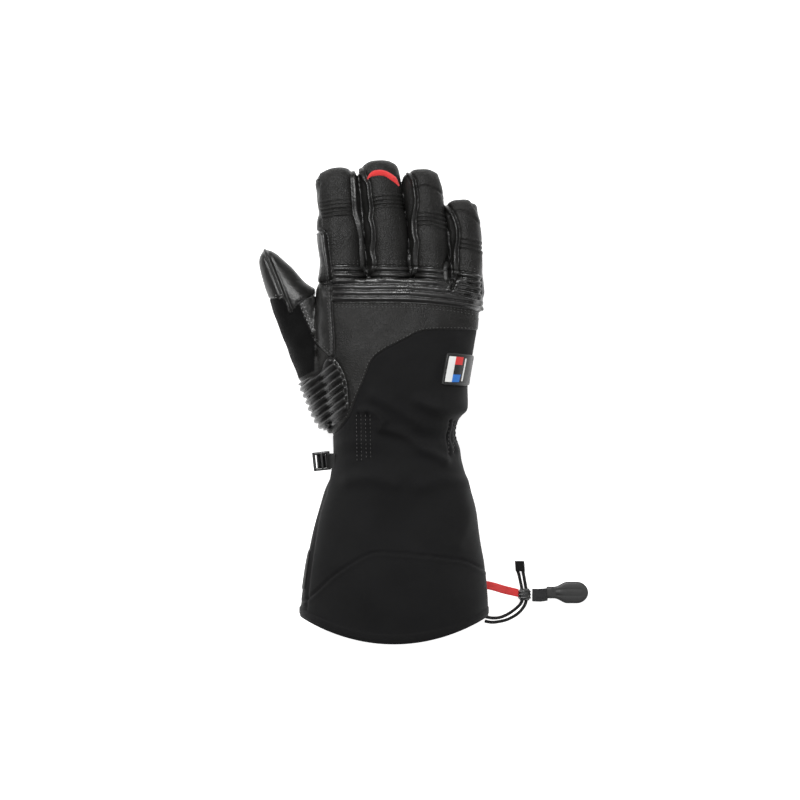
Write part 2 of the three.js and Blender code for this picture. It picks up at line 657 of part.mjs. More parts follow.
function roundedRectangle(w, h, r) {
  const shape = new THREE.Shape();
  shape.moveTo(-w / 2 + r, -h / 2);
  shape.lineTo(w / 2 - r, -h / 2);
  shape.absarc(w / 2 - r, -h / 2 + r, r, -Math.PI / 2, 0);
  shape.lineTo(w / 2, h / 2 - r);
  shape.absarc(w / 2 - r, h / 2 - r, r, 0, Math.PI / 2);
  shape.lineTo(-w / 2 + r, h / 2);
  shape.absarc(-w / 2 + r, h / 2 - r, r, Math.PI / 2, Math.PI);
  shape.lineTo(-w / 2, -h / 2 + r);
  shape.absarc(-w / 2 + r, -h / 2 + r, r, Math.PI, 1.5 * Math.PI);
  return shape;
}

// The strap round the palm side of the wrist, and the ladder-lock buckle that holds it at the thumb side.
function buildWristStrap() {
  const { left, right, floor, top } = ARM.find(({ y }) => y === STRAP_Y);
  const centre = new THREE.Vector3((left + right) / 2, STRAP_Y, (floor + top) / 2);
  const across = new THREE.Vector3((right - left) / 2 + STRAP.off, 0, 0);
  const up = new THREE.Vector3(0, 0, (top - floor) / 2 + STRAP.off);
  // Of the ring's 24 points, numbers 22 to 14 go round the palm side from the little finger to the thumb.
  const round = ring(centre, across, up, 24, ARM_SQUARENESS).slice(14, 23).reverse();
  const toBuckle = [[-48.6, STRAP_Y, 21], [-54, STRAP_Y, 27.2]];
  const anchor = [[-46.4, STRAP_Y, 39.2], [-46.9, STRAP_Y, 36.4], [-47.2, STRAP_Y, 35.2]];
  const path = [...round.map((point) => point.toArray()), ...toBuckle];
  add('wrist_strap', strap(path, STRAP.wide, STRAP.thick), WEBBING);
  add('buckle_loop', strap(anchor, STRAP.wide, STRAP.thick), WEBBING);

  const frame = roundedRectangle(BUCKLE.long, BUCKLE.wide, 1.6);
  const slotWide = BUCKLE.wide - 2 * BUCKLE.rim;
  for (const x of [-BUCKLE.long / 5, BUCKLE.long / 5]) {
    const hole = roundedRectangle(BUCKLE.slot, slotWide, 0.6).getPoints(2);
    frame.holes.push(new THREE.Path(hole.map((point) => point.add(new THREE.Vector2(x, 0)))));
  }
  const extrusion = { depth: BUCKLE.thick, bevelEnabled: false, curveSegments: 3 };
  const geometry = new THREE.ExtrudeGeometry(frame, extrusion);
  geometry.translate(...BUCKLE.at);
  add('ladder_buckle', solid(geometry), PLASTIC);
}

// A round cord along a curve through its points.
const CORD_SIDES = 8;
function cord(points, diameter, steps) {
  const curve = new THREE.CatmullRomCurve3(points.map((point) => new THREE.Vector3(...point)));
  const circle = new THREE.Shape();
  circle.absarc(0, 0, diameter / 2, 0, 2 * Math.PI);
  const outline = new THREE.Shape(circle.getSpacedPoints(CORD_SIDES).slice(0, CORD_SIDES));
  return solid(new THREE.ExtrudeGeometry(outline, { extrudePath: curve, steps, bevelEnabled: false }));
}

// The elastic cord lies in the hem's channel all the way round, apart from where it comes out.
function buildHemCord() {
  const middle = { left: -66.7, right: 58.8, floor: 0.3, top: 71.4 };
  const inset = -CHANNEL_OUTSIDE - CORD_PLAY - CORD_D / 2;
  const count = 48;
  const sectionPoints = ring(
    new THREE.Vector3((middle.left + middle.right) / 2, 0, (middle.floor + middle.top) / 2),
    new THREE.Vector3((middle.right - middle.left) / 2 + inset, 0, 0),
    new THREE.Vector3(0, 0, (middle.top - middle.floor) / 2 + inset),
    count,
    ARM_SQUARENESS,
  );
  // The ring starts at the little-finger side; two of its points there are left out.
  const firstPoint = count - 4;
  const route = [];
  for (let k = 2; k < count - 1; k++) {
    const point = sectionPoints[(firstPoint + k) % count];
    route.push([point.x, HEM_Y + hemBow(point.x) + CHANNEL_LOW + CORD_PLAY + CORD_D / 2, point.z]);
  }
  add('hem_cord', cord(route, CORD_D, count + 8), WEBBING);
}

// The cord comes out of the hem, goes through the lock, round a loop and back. Points chosen by hand.
const DRAWCORD_ROUTE = [
  [57.6, -118.4, 19.4],
  [61.4, -119.2, 17.2],
  [65.8, -119.2, 14.4],
  [70.2, -118.0, 11.5],
  [74.4, -115.8, 8.9],
  [78.4, -112.9, 6.7],
  [81.3, -109.9, 5.0],
  [82.4, -106.6, 4.3],
  [82.4, -103.0, 4.2],
  [82.3, -99.4, 4.1],
  [80.4, -95.0, 2.8],
  [78.0, -90.8, 1.6],
  [77.3, -87.2, 1.3],
  [79.2, -84.5, 1.3],
  [82.4, -84.2, 1.3],
  [84.8, -86.6, 1.3],
  [85.3, -90.6, 1.6],
  [85.3, -95.0, 2.8],
  [85.1, -99.4, 4.1],
  [85.0, -103.0, 4.2],
  [85.0, -107.0, 4.3],
  [83.8, -111.2, 5.0],
  [80.6, -115.4, 6.7],
  [76.2, -118.6, 8.9],
  [71.2, -120.8, 11.5],
  [66.2, -121.8, 14.4],
  [61.4, -122.1, 17.2],
  [57.0, -121.3, 19.3],
];

// Red webbing from the cuff to the lock that the cord runs through, then folded webbing and the pull tab.
function buildDrawcord() {
  const steps = 48;
  add('drawcord', cord(DRAWCORD_ROUTE, CORD_D, steps), WEBBING);

  const [lx, ly, lz] = LOCK.at;
  const [sx, sy, sz] = LOCK.size;
  const barrel = roundedRectangle(sx, sz, 2);
  const way = roundedRectangle(2 * CORD_D + 1.2, CORD_D + 1, 1);
  barrel.holes.push(new THREE.Path(way.getPoints(2)));
  const boring = { depth: sy, bevelEnabled: false, curveSegments: 3 };
  const geometry = new THREE.ExtrudeGeometry(barrel, boring);
  geometry.rotateX(Math.PI / 2);
  geometry.translate(lx, ly + sy / 2, lz);
  add('cord_lock', solid(geometry), PLASTIC);

  const red = [[56.8, -97, 20.4], [62, -98, 17.8], [70, -100.6, 11], [lx - sx / 2 - GAP, -103, 5.2]];
  add('red_webbing', strap(red, RED_WEBBING.wide, RED_WEBBING.thick), RED);

  const fold = [lx + sx / 2 + 1.8, -104.5, lz - 0.2];
  const folded = [fold, [fold[0] + 5, -104.6, 3.3], [TAB.neckX - GAP, -104.4, 2.6]];
  add('tab_webbing', strap(folded, FOLDED_WEBBING.wide, FOLDED_WEBBING.thick), GREY_WEBBING);

  const leaf = new THREE.Shape();
  leaf.moveTo(TAB.neckX, TAB.y + TAB.neck);
  leaf.quadraticCurveTo(TAB.neckX + 9, TAB.y + TAB.neck - 0.6, TAB.neckX + 14, TAB.y + TAB.half);
  leaf.bezierCurveTo(TAB.neckX + 22, TAB.y + 9.4, TAB.endX, TAB.y + 6, TAB.endX, TAB.y);
  leaf.bezierCurveTo(TAB.endX, TAB.y - 6, TAB.neckX + 22, TAB.y - 8.6, TAB.neckX + 14, TAB.y - TAB.half);
  leaf.quadraticCurveTo(TAB.neckX + 9, TAB.y - TAB.neck + 0.6, TAB.neckX, TAB.y - TAB.neck);
  const extrusion = { depth: TAB.thick, bevelEnabled: false, curveSegments: 4 };
  const leafGeometry = new THREE.ExtrudeGeometry(leaf, extrusion);
  leafGeometry.translate(0, 0, TAB.z);
  add('pull_tab', solid(leafGeometry), RUBBER);
}

buildHand();
FINGERS.forEach(buildFinger);
buildIndexStrip();
buildPiping();
buildThumb();
buildCuff();
buildHemCord();
buildWristStrap();
buildDrawcord();

export default glove;
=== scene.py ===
"""A ski glove's looks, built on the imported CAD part.

The outside is one skin: a remeshed union of smooth lofts, puffed by a cloth simulation, then displaced
by the seams, ribs, folds and creases. It is cut into named pieces along seams and along lines where a
blend's weight is 0 or 1. Lengths are millimetres until a mesh is made.
"""

import json
import math

import bmesh
import bpy
import numpy as np
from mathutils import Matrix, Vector, noise
from mathutils.bvhtree import BVHTree
from mathutils.kdtree import KDTree


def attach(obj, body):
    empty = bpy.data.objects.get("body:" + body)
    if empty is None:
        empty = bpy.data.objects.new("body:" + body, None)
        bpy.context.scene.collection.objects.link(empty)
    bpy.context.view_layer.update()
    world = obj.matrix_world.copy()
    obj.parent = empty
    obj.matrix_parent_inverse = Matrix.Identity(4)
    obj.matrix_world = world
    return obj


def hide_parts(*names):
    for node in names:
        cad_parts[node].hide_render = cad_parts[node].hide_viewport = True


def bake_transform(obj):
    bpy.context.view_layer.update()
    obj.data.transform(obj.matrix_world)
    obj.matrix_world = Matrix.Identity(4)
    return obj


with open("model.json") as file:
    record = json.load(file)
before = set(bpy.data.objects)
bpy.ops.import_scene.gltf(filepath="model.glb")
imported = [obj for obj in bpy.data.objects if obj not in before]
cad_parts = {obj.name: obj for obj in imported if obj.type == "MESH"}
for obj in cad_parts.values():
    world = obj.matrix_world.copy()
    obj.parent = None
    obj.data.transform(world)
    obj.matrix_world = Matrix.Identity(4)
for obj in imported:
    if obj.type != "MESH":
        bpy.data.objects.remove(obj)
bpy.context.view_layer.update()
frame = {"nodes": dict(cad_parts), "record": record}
MM = 0.001
ORIGIN = np.array([0, 56, 0])  # the row's origin, under the palm patch, in the axes that this file draws in


def row(points):
    """Millimetres in this file's axes as metres in the row frame."""
    return (np.asarray(points, float) - ORIGIN) * MM


# ---------- dimensions shared with the CAD part ----------
# The arm, from the hem to the knuckles: y, left, right, floor, top.
ARM = np.array([
    (-152, -67.2, 59.2, 0.3, 72),
    (-112, -66.5, 58.7, 0.3, 71),
    (-80, -62, 56.5, 0.6, 68),
    (-47, -54.5, 50, 2, 62),
    (-14, -44.7, 40, 4.5, 58),
    (8, -45, 38.6, 4.5, 57),
    (27, -50, 43.3, 3, 57),
    (58, -56, 48.5, 2.4, 54),
    (82, -56.5, 52.5, 2.4, 49),
    (99, -54.5, 53, 4, 42),
    (105, -50, 50, 9, 37),
])
SQUARENESS = 2.35
HEM_Y = -134
HEM_BOW = 17
HEM_HALF_WIDTH = 62
HEM_MIDDLE_X = -4
SHELL_THICK = 5.2  # outer shell, insulation and lining together

FINGER_DROP = 7.5  # degrees that the fingers slope down towards their tips
# Each finger: where it leaves the hand, its lean in degrees, its length, how far along it its middle joint
# is, and its width and thickness at the root and at the tip.
FINGERS = {
    "index": dict(web=(-37.5, 110.7, 22), lean=3.6, length=71.5, middle=42,
                  wide=(30.5, 27), thick=(29, 23.5)),
    "middle": dict(web=(-7, 110.7, 22.5), lean=6.2, length=77, middle=45,
                   wide=(29, 25.4), thick=(29, 23.5)),
    "ring": dict(web=(21.5, 107, 21.5), lean=6.4, length=75, middle=39,
                 wide=(25.6, 24.6), thick=(28, 23)),
    "little": dict(web=(46, 100.7, 19), lean=6, length=60.5, middle=26,
                   wide=(20, 22.6), thick=(25, 20.5)),
}
TIP_SQUARENESS = 2.9
KNUCKLE_S = 7  # how far along each finger its knuckle hinge is

THUMB_LEAN = 24
THUMB_DROP = 3
# The thumb: x, y, z, half its width across its own line, and its thickness.
THUMB = [
    (-33, 8, 26, 12, 24),
    (-38, 18, 24, 18, 34),
    (-46, 36, 21, 18.5, 36),
    (-54, 54, 18.5, 17.5, 33),
    (-62, 74, 16.5, 17.4, 30),
    (-69.5, 91, 15, 16.4, 28),
    (-77.3, 102, 14, 12.4, 25),
    (-83, 112, 13.2, 9.8, 21),
    (-88.2, 121, 13, 6.6, 16),
    (-89.8, 125.2, 13, 3.6, 10),
    (-90.6, 127.2, 13, 0.6, 2),
]
THUMB_ROOT = (-50.5, 48, 19)
THUMB_KNUCKLE = (-73, 93, 15)
THUMB_KNUCKLE_S = 50.3  # how far along the thumb its bend is
THUMB_WALL_X = -58  # the thumb stays on the far side of this, clear of the hand
THUMB_WALL_SLACK = 0.9

WRIST_Y = 3
KNUCKLE_REACH = 13
MIDDLE_REACH = 14
LITTLE_REACH = 9.5
THUMB_ROOT_REACH = 30
THUMB_BEND_REACH = 13

DRAWCORD_DIAMETER = 2.2
DRAWCORD_ROUTE = [
    (57.6, -118.4, 19.4), (61.4, -119.2, 17.2), (65.8, -119.2, 14.4), (70.2, -118, 11.5),
    (74.4, -115.8, 8.9), (78.4, -112.9, 6.7), (81.3, -109.9, 5), (82.4, -106.6, 4.3),
    (82.4, -103, 4.2), (81.8, -99.4, 4.1), (80.9, -95, 3), (80, -90.8, 2),
    (78.9, -87.2, 1.6), (78.8, -84.6, 1.5), (80.5, -82.6, 1.5), (82.2, -84.6, 1.5),
    (82.6, -87.4, 1.6), (83.2, -91, 2), (83.9, -95.2, 3), (84.6, -99.4, 4.1), (85, -103, 4.2),
    (85, -107, 4.3), (83.8, -111.2, 5), (80.6, -115.4, 6.7), (76.2, -118.6, 8.9),
    (71.2, -120.8, 11.5), (66.2, -121.8, 14.4), (61.4, -122.1, 17.2), (57, -121.3, 19.3),
]

# ---------- seams and panels, seen from above ----------
# The edges of each finger's back panel, from the tip to the web.
FINGER_SEAMS = {
    "index": (
        [(-53.5, 172), (-54.7, 162), (-54.7, 156.7), (-53, 149), (-52.6, 142.2), (-49.2, 137.1),
         (-48.1, 126.8), (-46.6, 116.6), (-45.8, 106)],
        [(-33, 181), (-32.1, 167.8), (-31.3, 154.1), (-29.2, 145.6), (-27.3, 135.4), (-26.6, 125.1),
         (-25.7, 117.5), (-24, 112.3), (-20.6, 108.6)],
    ),
    "middle": (
        [(-25.7, 184.8), (-22.3, 175.4), (-20.2, 171.2), (-19.4, 163.5), (-18.2, 155), (-18.9, 148.2),
         (-17.4, 142.2), (-17, 133.7), (-17.9, 126), (-16.5, 119.2), (-17.6, 113.2), (-20.6, 108.6)],
        [(-1, 184), (1.5, 168.6), (3.9, 159.2), (5.6, 152.4), (8.2, 140.5), (6.8, 133.7), (5.6, 126),
         (5.8, 116.6), (8.2, 107.5)],
    ),
    "ring": (
        [(5.8, 180.5), (9.6, 174.6), (10.7, 170.3), (11.9, 159.2), (10.5, 149), (10.5, 138.8),
         (11.9, 132), (11.1, 122.6), (10.7, 112.3), (8.2, 107.5)],
        [(26, 176), (29.7, 165.2), (30.5, 156.7), (33.1, 150.7), (33.8, 143.9), (31.8, 137.9),
         (33.2, 130.2), (32.7, 122.6), (30.1, 116.6), (29.8, 108.1), (34, 99.8)],
    ),
    "little": (
        [(31.4, 157.5), (35.6, 152.4), (39, 143.9), (39.7, 135.4), (38.6, 126.8), (38.4, 118.3),
         (37.5, 109.8), (34, 99.8)],
        [(48, 160), (53.5, 147), (56, 133.7), (55.5, 122.6), (54.5, 108.1), (54.5, 96)],
    ),
}
# Where the ribs at each finger's middle joint start, from left to right, and their number and pitch.
FINGER_RIBS = {
    "index": ([(-54, 146.9), (-41, 149), (-29, 149.4)], 5, 2.6),
    "middle": ([(-20, 152.6), (-7.8, 154.5), (6, 153)], 4, 2.6),
    "ring": ([(9, 142.2), (20.3, 142.6), (33, 137.5)], 4, 2.7),
    "little": ([(37, 128.1), (46.7, 126.4), (56, 122.2)], 3, 3.0),
}
TIP_SEAMS = {
    "ring": [(9.5, 168), (17.7, 169.8), (25.4, 166.1), (31, 158)],
    "little": [(33, 150), (39, 153.7), (46.7, 150.7), (54, 142)],
}
PIPING = [(-21.8, 174.2), (-19.6, 176.8), (-15.5, 178.4), (-10, 177.9), (-4.8, 174.9), (-2.2, 172.2),
          (-0.6, 169.6)]
PIPING_WIDE = 4
PIPING_HIGH = 0.9

KNUCKLE_RIB_PITCH = 4.05
KNUCKLE_RIB_COUNT = 6
KNUCKLE_LEFT_X = -45.6
KNUCKLE_RIGHT_X = 55.5
STRIP_OUTLINE = [(-70, 138.4), (-49.3, 138.7), (-48.2, 128), (-46.8, 116), (-45.8, 93.3), (-44, 66.7),
                 (-44.2, 56.5), (-45.4, 55), (-47.5, 56.2), (-57.5, 65.5), (-59.5, 69), (-70, 75)]
STRIP_CROSS_Y = 105.8
THUMB_RIBS_OUTLINE = [
    (-51, 49.5), (-48.5, 54.3), (-44, 54), (-39.5, 48), (-36.3, 40), (-34.6, 29), (-34.4, 20.5), (-38, 15),
    (-44, 10), (-49, 6.5), (-72, 2), (-78, 30), (-63, 40.5), (-57, 42.5), (-53.5, 45),
]
THUMB_RIBS_FROM = (-46, 6)
THUMB_RIBS_ANGLE = 36
THUMB_RIBS_PITCH = 4.5
LEATHER_EDGE = [
    (78, 73.2), (51.7, 73.3), (17.1, 72.7), (4, 67.3), (-11.3, 59.3), (-18.7, 52.7), (-23.3, 41.7),
    (-29.3, 27.3), (-34.8, 14), (-45, 4), (-60, 0),
]
THUMB_RIDGE = [(-91, 128), (-84, 112), (-73.3, 85.3)]
THUMB_CAP_SEAM = [
    (-50, 98.5), (-58, 96.5), (-64, 94), (-68.5, 90.5), (-73.4, 85), (-75.5, 90), (-76.8, 94.2),
    (-82, 94.6), (-89, 94.2), (-99, 93),
]
THUMB_PATCH = [(-68.4, 92), (-68.5, 90.6), (-64, 94), (-58, 96.5), (-50, 98.5), (-50, 71), (-58.7, 70)]
CUFF_SIDE_SEAM = [(-44.5, 20), (-46.5, -6), (-49, -32), (-54.7, -54), (-61.3, -104.7), (-63.5, -150)]
HEM_SEAM = [
    (-90, -125), (-61.3, -104.7), (-45.3, -89.8), (-30, -79.5), (-20, -74.6), (-14, -73.6), (5, -74.8),
    (30, -77.4), (44, -79.6), (56, -85.6), (90, -104),
]
# Where the elastic at the wrist draws the cloth in.
DARTS = [
    [(-27.4, 17.6), (-26.9, -14)],
    [(-21.4, 17.6), (-20.8, -12)],
    [(34, 13), (33.8, -9)],
    [(37.6, 12), (37.4, -8)],
]
# Soft folds in the cuff's cloth: a line, how high the fold stands and half its width.
CUFF_FOLDS = [
    ([(-12, 8), (4, 3), (16, -6), (30, -13)], 2.6, 3.6),
    ([(-36, 12), (-29, 19.5), (-18, 18.5), (-11, 12)], 2.2, 2.6),
    ([(12, 26), (24, 20), (34, 18), (44, 21)], 2.0, 4),
    ([(-34, -26), (-20, -24), (-4, -29)], 1.8, 5),
    ([(14, -30), (28, -26), (42, -28)], 1.8, 5),
    ([(-20, 30), (-4, 22), (12, 12)], 1.4, 4),
]
CUFF_CREASE = [(41, -36), (44, -52), (38, -68)]

# The heights where one panel ends and the next begins, on the sides of the glove.
PALM_SIDE_Z = 25
CUFF_SIDE_Z = 32
GUSSET_LOW_Z = 16
STRIP_LOW_Z = 9
THUMB_RIBS_LOW_Z = 12
CUFF_TOP_Y = 1
PALM_PATCH = [
    (-30, 24), (-33.6, 42), (-34.6, 60), (-34, 80), (-30, 88), (0, 88.5), (30, 88), (34, 80), (33, 60),
    (28, 36), (22, 24), (0, 23.5),
]

# ---------- strap, buckle, lock and pull tab ----------
STRAP_Y = -14
STRAP_WIDE = 10
STRAP_THICK = 1.4
# The strap's and the buckle loop's x and z.
STRAP_PATH = [
    (34.5, 12.7), (28, 6), (16, 2.7), (-2, 2), (-20, 2.4), (-33, 5.6), (-42, 14), (-48.6, 21), (-54.6, 30),
]
LOOP_WIDE = 9.4
LOOP_THICK = 1.3
LOOP_PATH = [(-42.6, 41), (-44.6, 37.5), (-46.2, 34.6), (-48.2, 32.6)]
BUCKLE_AT = (-52.2, STRAP_Y, 30.7)
BUCKLE_SIZE = (11.8, 12.6, 3)
BUCKLE_RAIL = 2.0
BUCKLE_TURN = 6
LOCK_AT = (83.7, -104, 4.2)
LOCK_SIZE = (8.6, 8, 7)
TAB_NECK_X = 98.6
TAB_END_X = 126.6
TAB_Y = -102.8
TAB_Z = 0.9
TAB_THICK = 3.2


# ---------- curves and lofts ----------
def spline(points, step=1.0):
    """A smooth curve through points, as points about step apart."""
    p = np.array(points, float)
    p = np.vstack([2 * p[0] - p[1], p, 2 * p[-1] - p[-2]])
    out = []
    for a, b, c, d in zip(p, p[1:], p[2:], p[3:]):
        count = max(2, int(np.linalg.norm(c - b) / step))
        t = np.linspace(0, 1, count, endpoint=False)[:, None]
        square = 2 * a - 5 * b + 4 * c - d
        cube = 3 * b - a - 3 * c + d
        out.append(0.5 * (2 * b + (c - a) * t + square * t**2 + cube * t**3))
    return np.vstack([*out, p[-2]])


def resample(line, count):
    """count points at equal distances along a line."""
    along = np.concatenate([[0], np.cumsum(np.linalg.norm(np.diff(line, axis=0), axis=1))])
    wanted = np.linspace(0, along[-1], count)
    return np.stack([np.interp(wanted, along, column) for column in line.T], axis=1)


def length_of(line):
    """A line's length."""
    return np.linalg.norm(np.diff(line, axis=0), axis=1).sum()


def limb_frame(lean, drop):
    """Directions along, across and up from a limb. lean turns it to the left and drop points it down."""
    lean, drop = math.radians(lean), math.radians(drop)
    along = np.array([-math.sin(lean) * math.cos(drop), math.cos(lean) * math.cos(drop), -math.sin(drop)])
    across = np.array([math.cos(lean), math.sin(lean), 0])
    return along, across, np.cross(across, along)


def ring(centre, across, up, sides, squareness=SQUARENESS):
    """A superellipse of half axes across and up, round centre."""
    angle = 2 * np.pi * np.arange(sides) / sides
    c, s = np.cos(angle), np.sin(angle)
    a = np.sign(c) * np.abs(c) ** (2 / squareness)
    b = np.sign(s) * np.abs(s) ** (2 / squareness)
    return np.asarray(centre) + a[:, None] * np.asarray(across) + b[:, None] * np.asarray(up)


def tube(rings, close_ends=True, closed_ring=True):
    """Vertices and faces of a loft through rings of equal size."""
    n = len(rings[0])
    verts = np.vstack(rings)
    faces = []
    steps = n if closed_ring else n - 1
    for r in range(len(rings) - 1):
        for k in range(steps):
            m = (k + 1) % n
            faces.append((r * n + k, r * n + m, (r + 1) * n + m, (r + 1) * n + k))
    if close_ends:
        faces.append(tuple(range(n))[::-1])
        faces.append(tuple((len(rings) - 1) * n + k for k in range(n)))
    return verts, faces


def joined(parts):
    """Several (vertices, faces) as one."""
    verts, faces, base = [], [], 0
    for v, f in parts:
        verts.append(np.asarray(v, float))
        faces += [tuple(i + base for i in face) for face in f]
        base += len(v)
    return np.vstack(verts), faces


# ---------- the glove's volumes ----------
def arm_sections(offset=0.0, step=3.0):
    """The arm's y, left, right, floor and top at close stations, with the corners between them rounded."""
    y = np.arange(ARM[0, 0], ARM[-1, 0] + step / 2, step)
    values = [np.interp(y, ARM[:, 0], column) for column in ARM[:, 1:].T]
    for _ in range(3):
        values = [np.concatenate([v[:1], (v[:-2] + 2 * v[1:-1] + v[2:]) / 4, v[-1:]]) for v in values]
    left, right, floor, top = values
    return y, left - offset, right + offset, floor - offset, top + offset


def arm_rings(offset=0.0, sides=72, step=3.0):
    """The cuff and the hand, from the hem up, as rings."""
    rings = []
    for y, left, right, floor, top in zip(*arm_sections(offset, step)):
        centre = ((left + right) / 2, y, (floor + top) / 2)
        rings.append(ring(centre, ((right - left) / 2, 0, 0), (0, 0, (top - floor) / 2), sides))
    return rings


def finger_rings(finger, sides=36):
    """A finger, from inside the hand to its round tip, as rings."""
    along, across, up = limb_frame(finger["lean"], FINGER_DROP)
    web = np.array(finger["web"], float)
    length = finger["length"]
    tip = finger["thick"][1] / 2 + 1
    straight = length - tip
    rings = []

    def add(s, shrink):
        t = min(max(s / length, 0), 1)
        # The finger narrows a little at its middle joint and swells on both sides of it.
        pinch = -0.9 * math.exp(-(((s - finger["middle"]) / 5) ** 2)) + 0.5 * math.sin(math.pi * t) ** 2
        half = np.interp(t, [0, 1], finger["wide"]) / 2 + pinch
        thick = np.interp(t, [0, 1], finger["thick"]) / 2 + pinch
        rings.append(ring(web + s * along, across * half * shrink, up * thick * shrink, sides))

    add(-15, 0.7)
    for s in np.arange(-3, straight, 3):
        add(s, 1)
    for t in (0.15, 0.3, 0.45, 0.58, 0.7, 0.8, 0.88, 0.94, 0.98, 1):
        add(straight + tip * t, max((1 - t**TIP_SQUARENESS) ** (1 / TIP_SQUARENESS), 0.05))
    return rings


def thumb_rings(sides=40):
    """The thumb, from inside the hand to its tip, as rings."""
    along, across, up = limb_frame(THUMB_LEAN, THUMB_DROP)
    rings = [ring(s[:3], across * s[3], up * s[4] / 2, sides) for s in spline(THUMB, 3)]
    # Beyond its root the thumb keeps clear of the side of the hand.
    for points in rings:
        beyond = (points - np.array(THUMB_ROOT)) @ along > 2
        points[:, 0] = np.where(beyond, np.minimum(points[:, 0], THUMB_WALL_X), points[:, 0])
    return rings


# ---------- meshes as arrays ----------
def temporary_object(verts, faces):
    """An object that lasts until evaluated() takes its mesh."""
    mesh = bpy.data.meshes.new("temporary")
    mesh.from_pydata(np.asarray(verts).tolist(), [], faces)
    obj = bpy.data.objects.new("temporary", mesh)
    bpy.context.collection.objects.link(obj)
    return obj


def evaluated(obj):
    """The object's mesh with its modifiers applied. The object goes away."""
    depsgraph = bpy.context.evaluated_depsgraph_get()
    mesh = bpy.data.meshes.new_from_object(obj.evaluated_get(depsgraph))
    bpy.data.objects.remove(obj)
    return mesh


def points_of(mesh):
    """A mesh's points as an array."""
    out = np.empty(3 * len(mesh.vertices))
    mesh.vertices.foreach_get("co", out)
    return out.reshape(-1, 3)


def set_points(mesh, points):
    """Moves a mesh's points."""
    mesh.vertices.foreach_set("co", np.ascontiguousarray(points, float).ravel())
    mesh.update()


def normals_of(mesh):
    """The normals at a mesh's points."""
    out = np.empty(3 * len(mesh.vertices), np.float32)
    mesh.vertex_normals.foreach_get("vector", out)
    return out.reshape(-1, 3).astype(float)


def edges_of(mesh):
    """A mesh's edges, as pairs of point numbers."""
    out = np.empty(2 * len(mesh.edges), np.int32)
    mesh.edges.foreach_get("vertices", out)
    return out.reshape(-1, 2)


def relaxed(points, edges, rounds, shrink=0.5, grow=-0.53):
    """Taubin smoothing, which keeps the volume. With a positive grow it smooths more and fills hollows."""
    count = np.bincount(edges.ravel(), minlength=len(points)).clip(1)[:, None]
    for i in range(2 * rounds):
        total = np.zeros_like(points)
        for a, b in ((0, 1), (1, 0)):
            for axis in range(3):
                total[:, axis] += np.bincount(edges[:, a], points[edges[:, b], axis], len(points))
        points = points + (shrink if i % 2 == 0 else grow) * (total / count - points)
    return points


def remeshed(verts, faces, size):
    """One even surface round overlapping closed volumes. size is that of its faces."""
    obj = temporary_object(verts, faces)
    modifier = obj.modifiers.new("remesh", "REMESH")
    modifier.mode = "VOXEL"
    modifier.voxel_size = size
    return evaluated(obj)


def hem_line_y(x):
    """Where the bowed hem is."""
    return HEM_Y + HEM_BOW * ((x - HEM_MIDDLE_X) / HEM_HALF_WIDTH) ** 2


# ---------- distances ----------
def ramp(x, start, end):
    """A smooth step from 0 at start to 1 at end."""
    t = np.clip((x - start) / (end - start), 0, 1)
    return t * t * (3 - 2 * t)


def bump_at(d, at, width, height):
    """A rounded ridge, or a groove where height is negative, at a distance from a line."""
    return height * np.exp(-(((d - at) / width) ** 2))


def to_line(points, line, reach=6.0):
    """Signed distance from points to a line in the XY plane: positive to the left of its direction.
    Points more than reach outside the line's box count as far away."""
    line = np.asarray(line, float)[:, :2]
    out = np.full(len(points), 1e3)
    flat = points[:, :2]
    near = np.all((flat > line.min(axis=0) - reach) & (flat < line.max(axis=0) + reach), axis=1)
    p = flat[near]
    best = np.full(len(p), 1e3)
    side = np.ones(len(p))
    for a, b in zip(line[:-1], line[1:]):
        d = b - a
        size = d @ d
        if size < 1e-9:
            continue
        t = np.clip(((p - a) @ d) / size, 0, 1)
        off = p - a - t[:, None] * d
        distance = np.hypot(off[:, 0], off[:, 1])
        closer = distance < best
        best[closer] = distance[closer]
        side[closer] = np.sign(d[0] * off[closer, 1] - d[1] * off[closer, 0])
    out[near] = best * np.where(side == 0, 1, side)
    return out


def within(points, outline):
    """Whether each point is inside an outline in the XY plane."""
    x, y = points[:, 0], points[:, 1]
    result = np.zeros(len(points), bool)
    corners = np.asarray(outline, float)
    for (x0, y0), (x1, y1) in zip(corners, np.roll(corners, -1, axis=0)):
        if y0 == y1:
            continue
        crosses = (y0 > y) != (y1 > y)
        result ^= crosses & (x < (x1 - x0) * (y - y0) / (y1 - y0) + x0)
    return result


def closed_distance(points, outline, reach=6.0):
    """Distance to an outline: positive inside."""
    loop = np.vstack([outline, outline[:1]])
    return np.abs(to_line(points, loop, reach)) * np.where(within(points, outline), 1, -1)


def rounded(outline, step=1.0):
    """A closed outline with its corners smoothed."""
    p = [np.array(c, float) for c in outline]
    loop = spline([p[-1], *p, p[0], p[1]], step)
    start = np.argmin(np.linalg.norm(loop - p[0], axis=1))
    end = len(loop) - 1 - np.argmin(np.linalg.norm(loop[::-1] - p[0], axis=1))
    return loop[start:end]


def noise_at(points, scale, seed=0.0):
    """Smooth noise between about -1 and 1. scale is the size of its features along each axis."""
    scaled = points / np.asarray(scale, float) + seed
    return np.array([noise.noise(p) for p in scaled.tolist()])


# ---------- the skin ----------
SKIN_VOXEL = 1.25
WHOLE = 400  # a reach in to_line() that takes in the whole glove
FINGER_SEAM_REACH = 40


def base_volumes():
    """The arm, the fingers and the thumb as overlapping closed lofts."""
    parts = [tube(arm_rings())]
    parts += [tube(finger_rings(finger)) for finger in FINGERS.values()]
    parts.append(tube(thumb_rings()))
    return joined(parts)


CLOTH_VOXEL = 5.0
CLOTH_FRAMES = 20
CLOTH_PRESSURE = 4.0
CLOTH_LIMIT = 3.0  # millimetres that a point may move


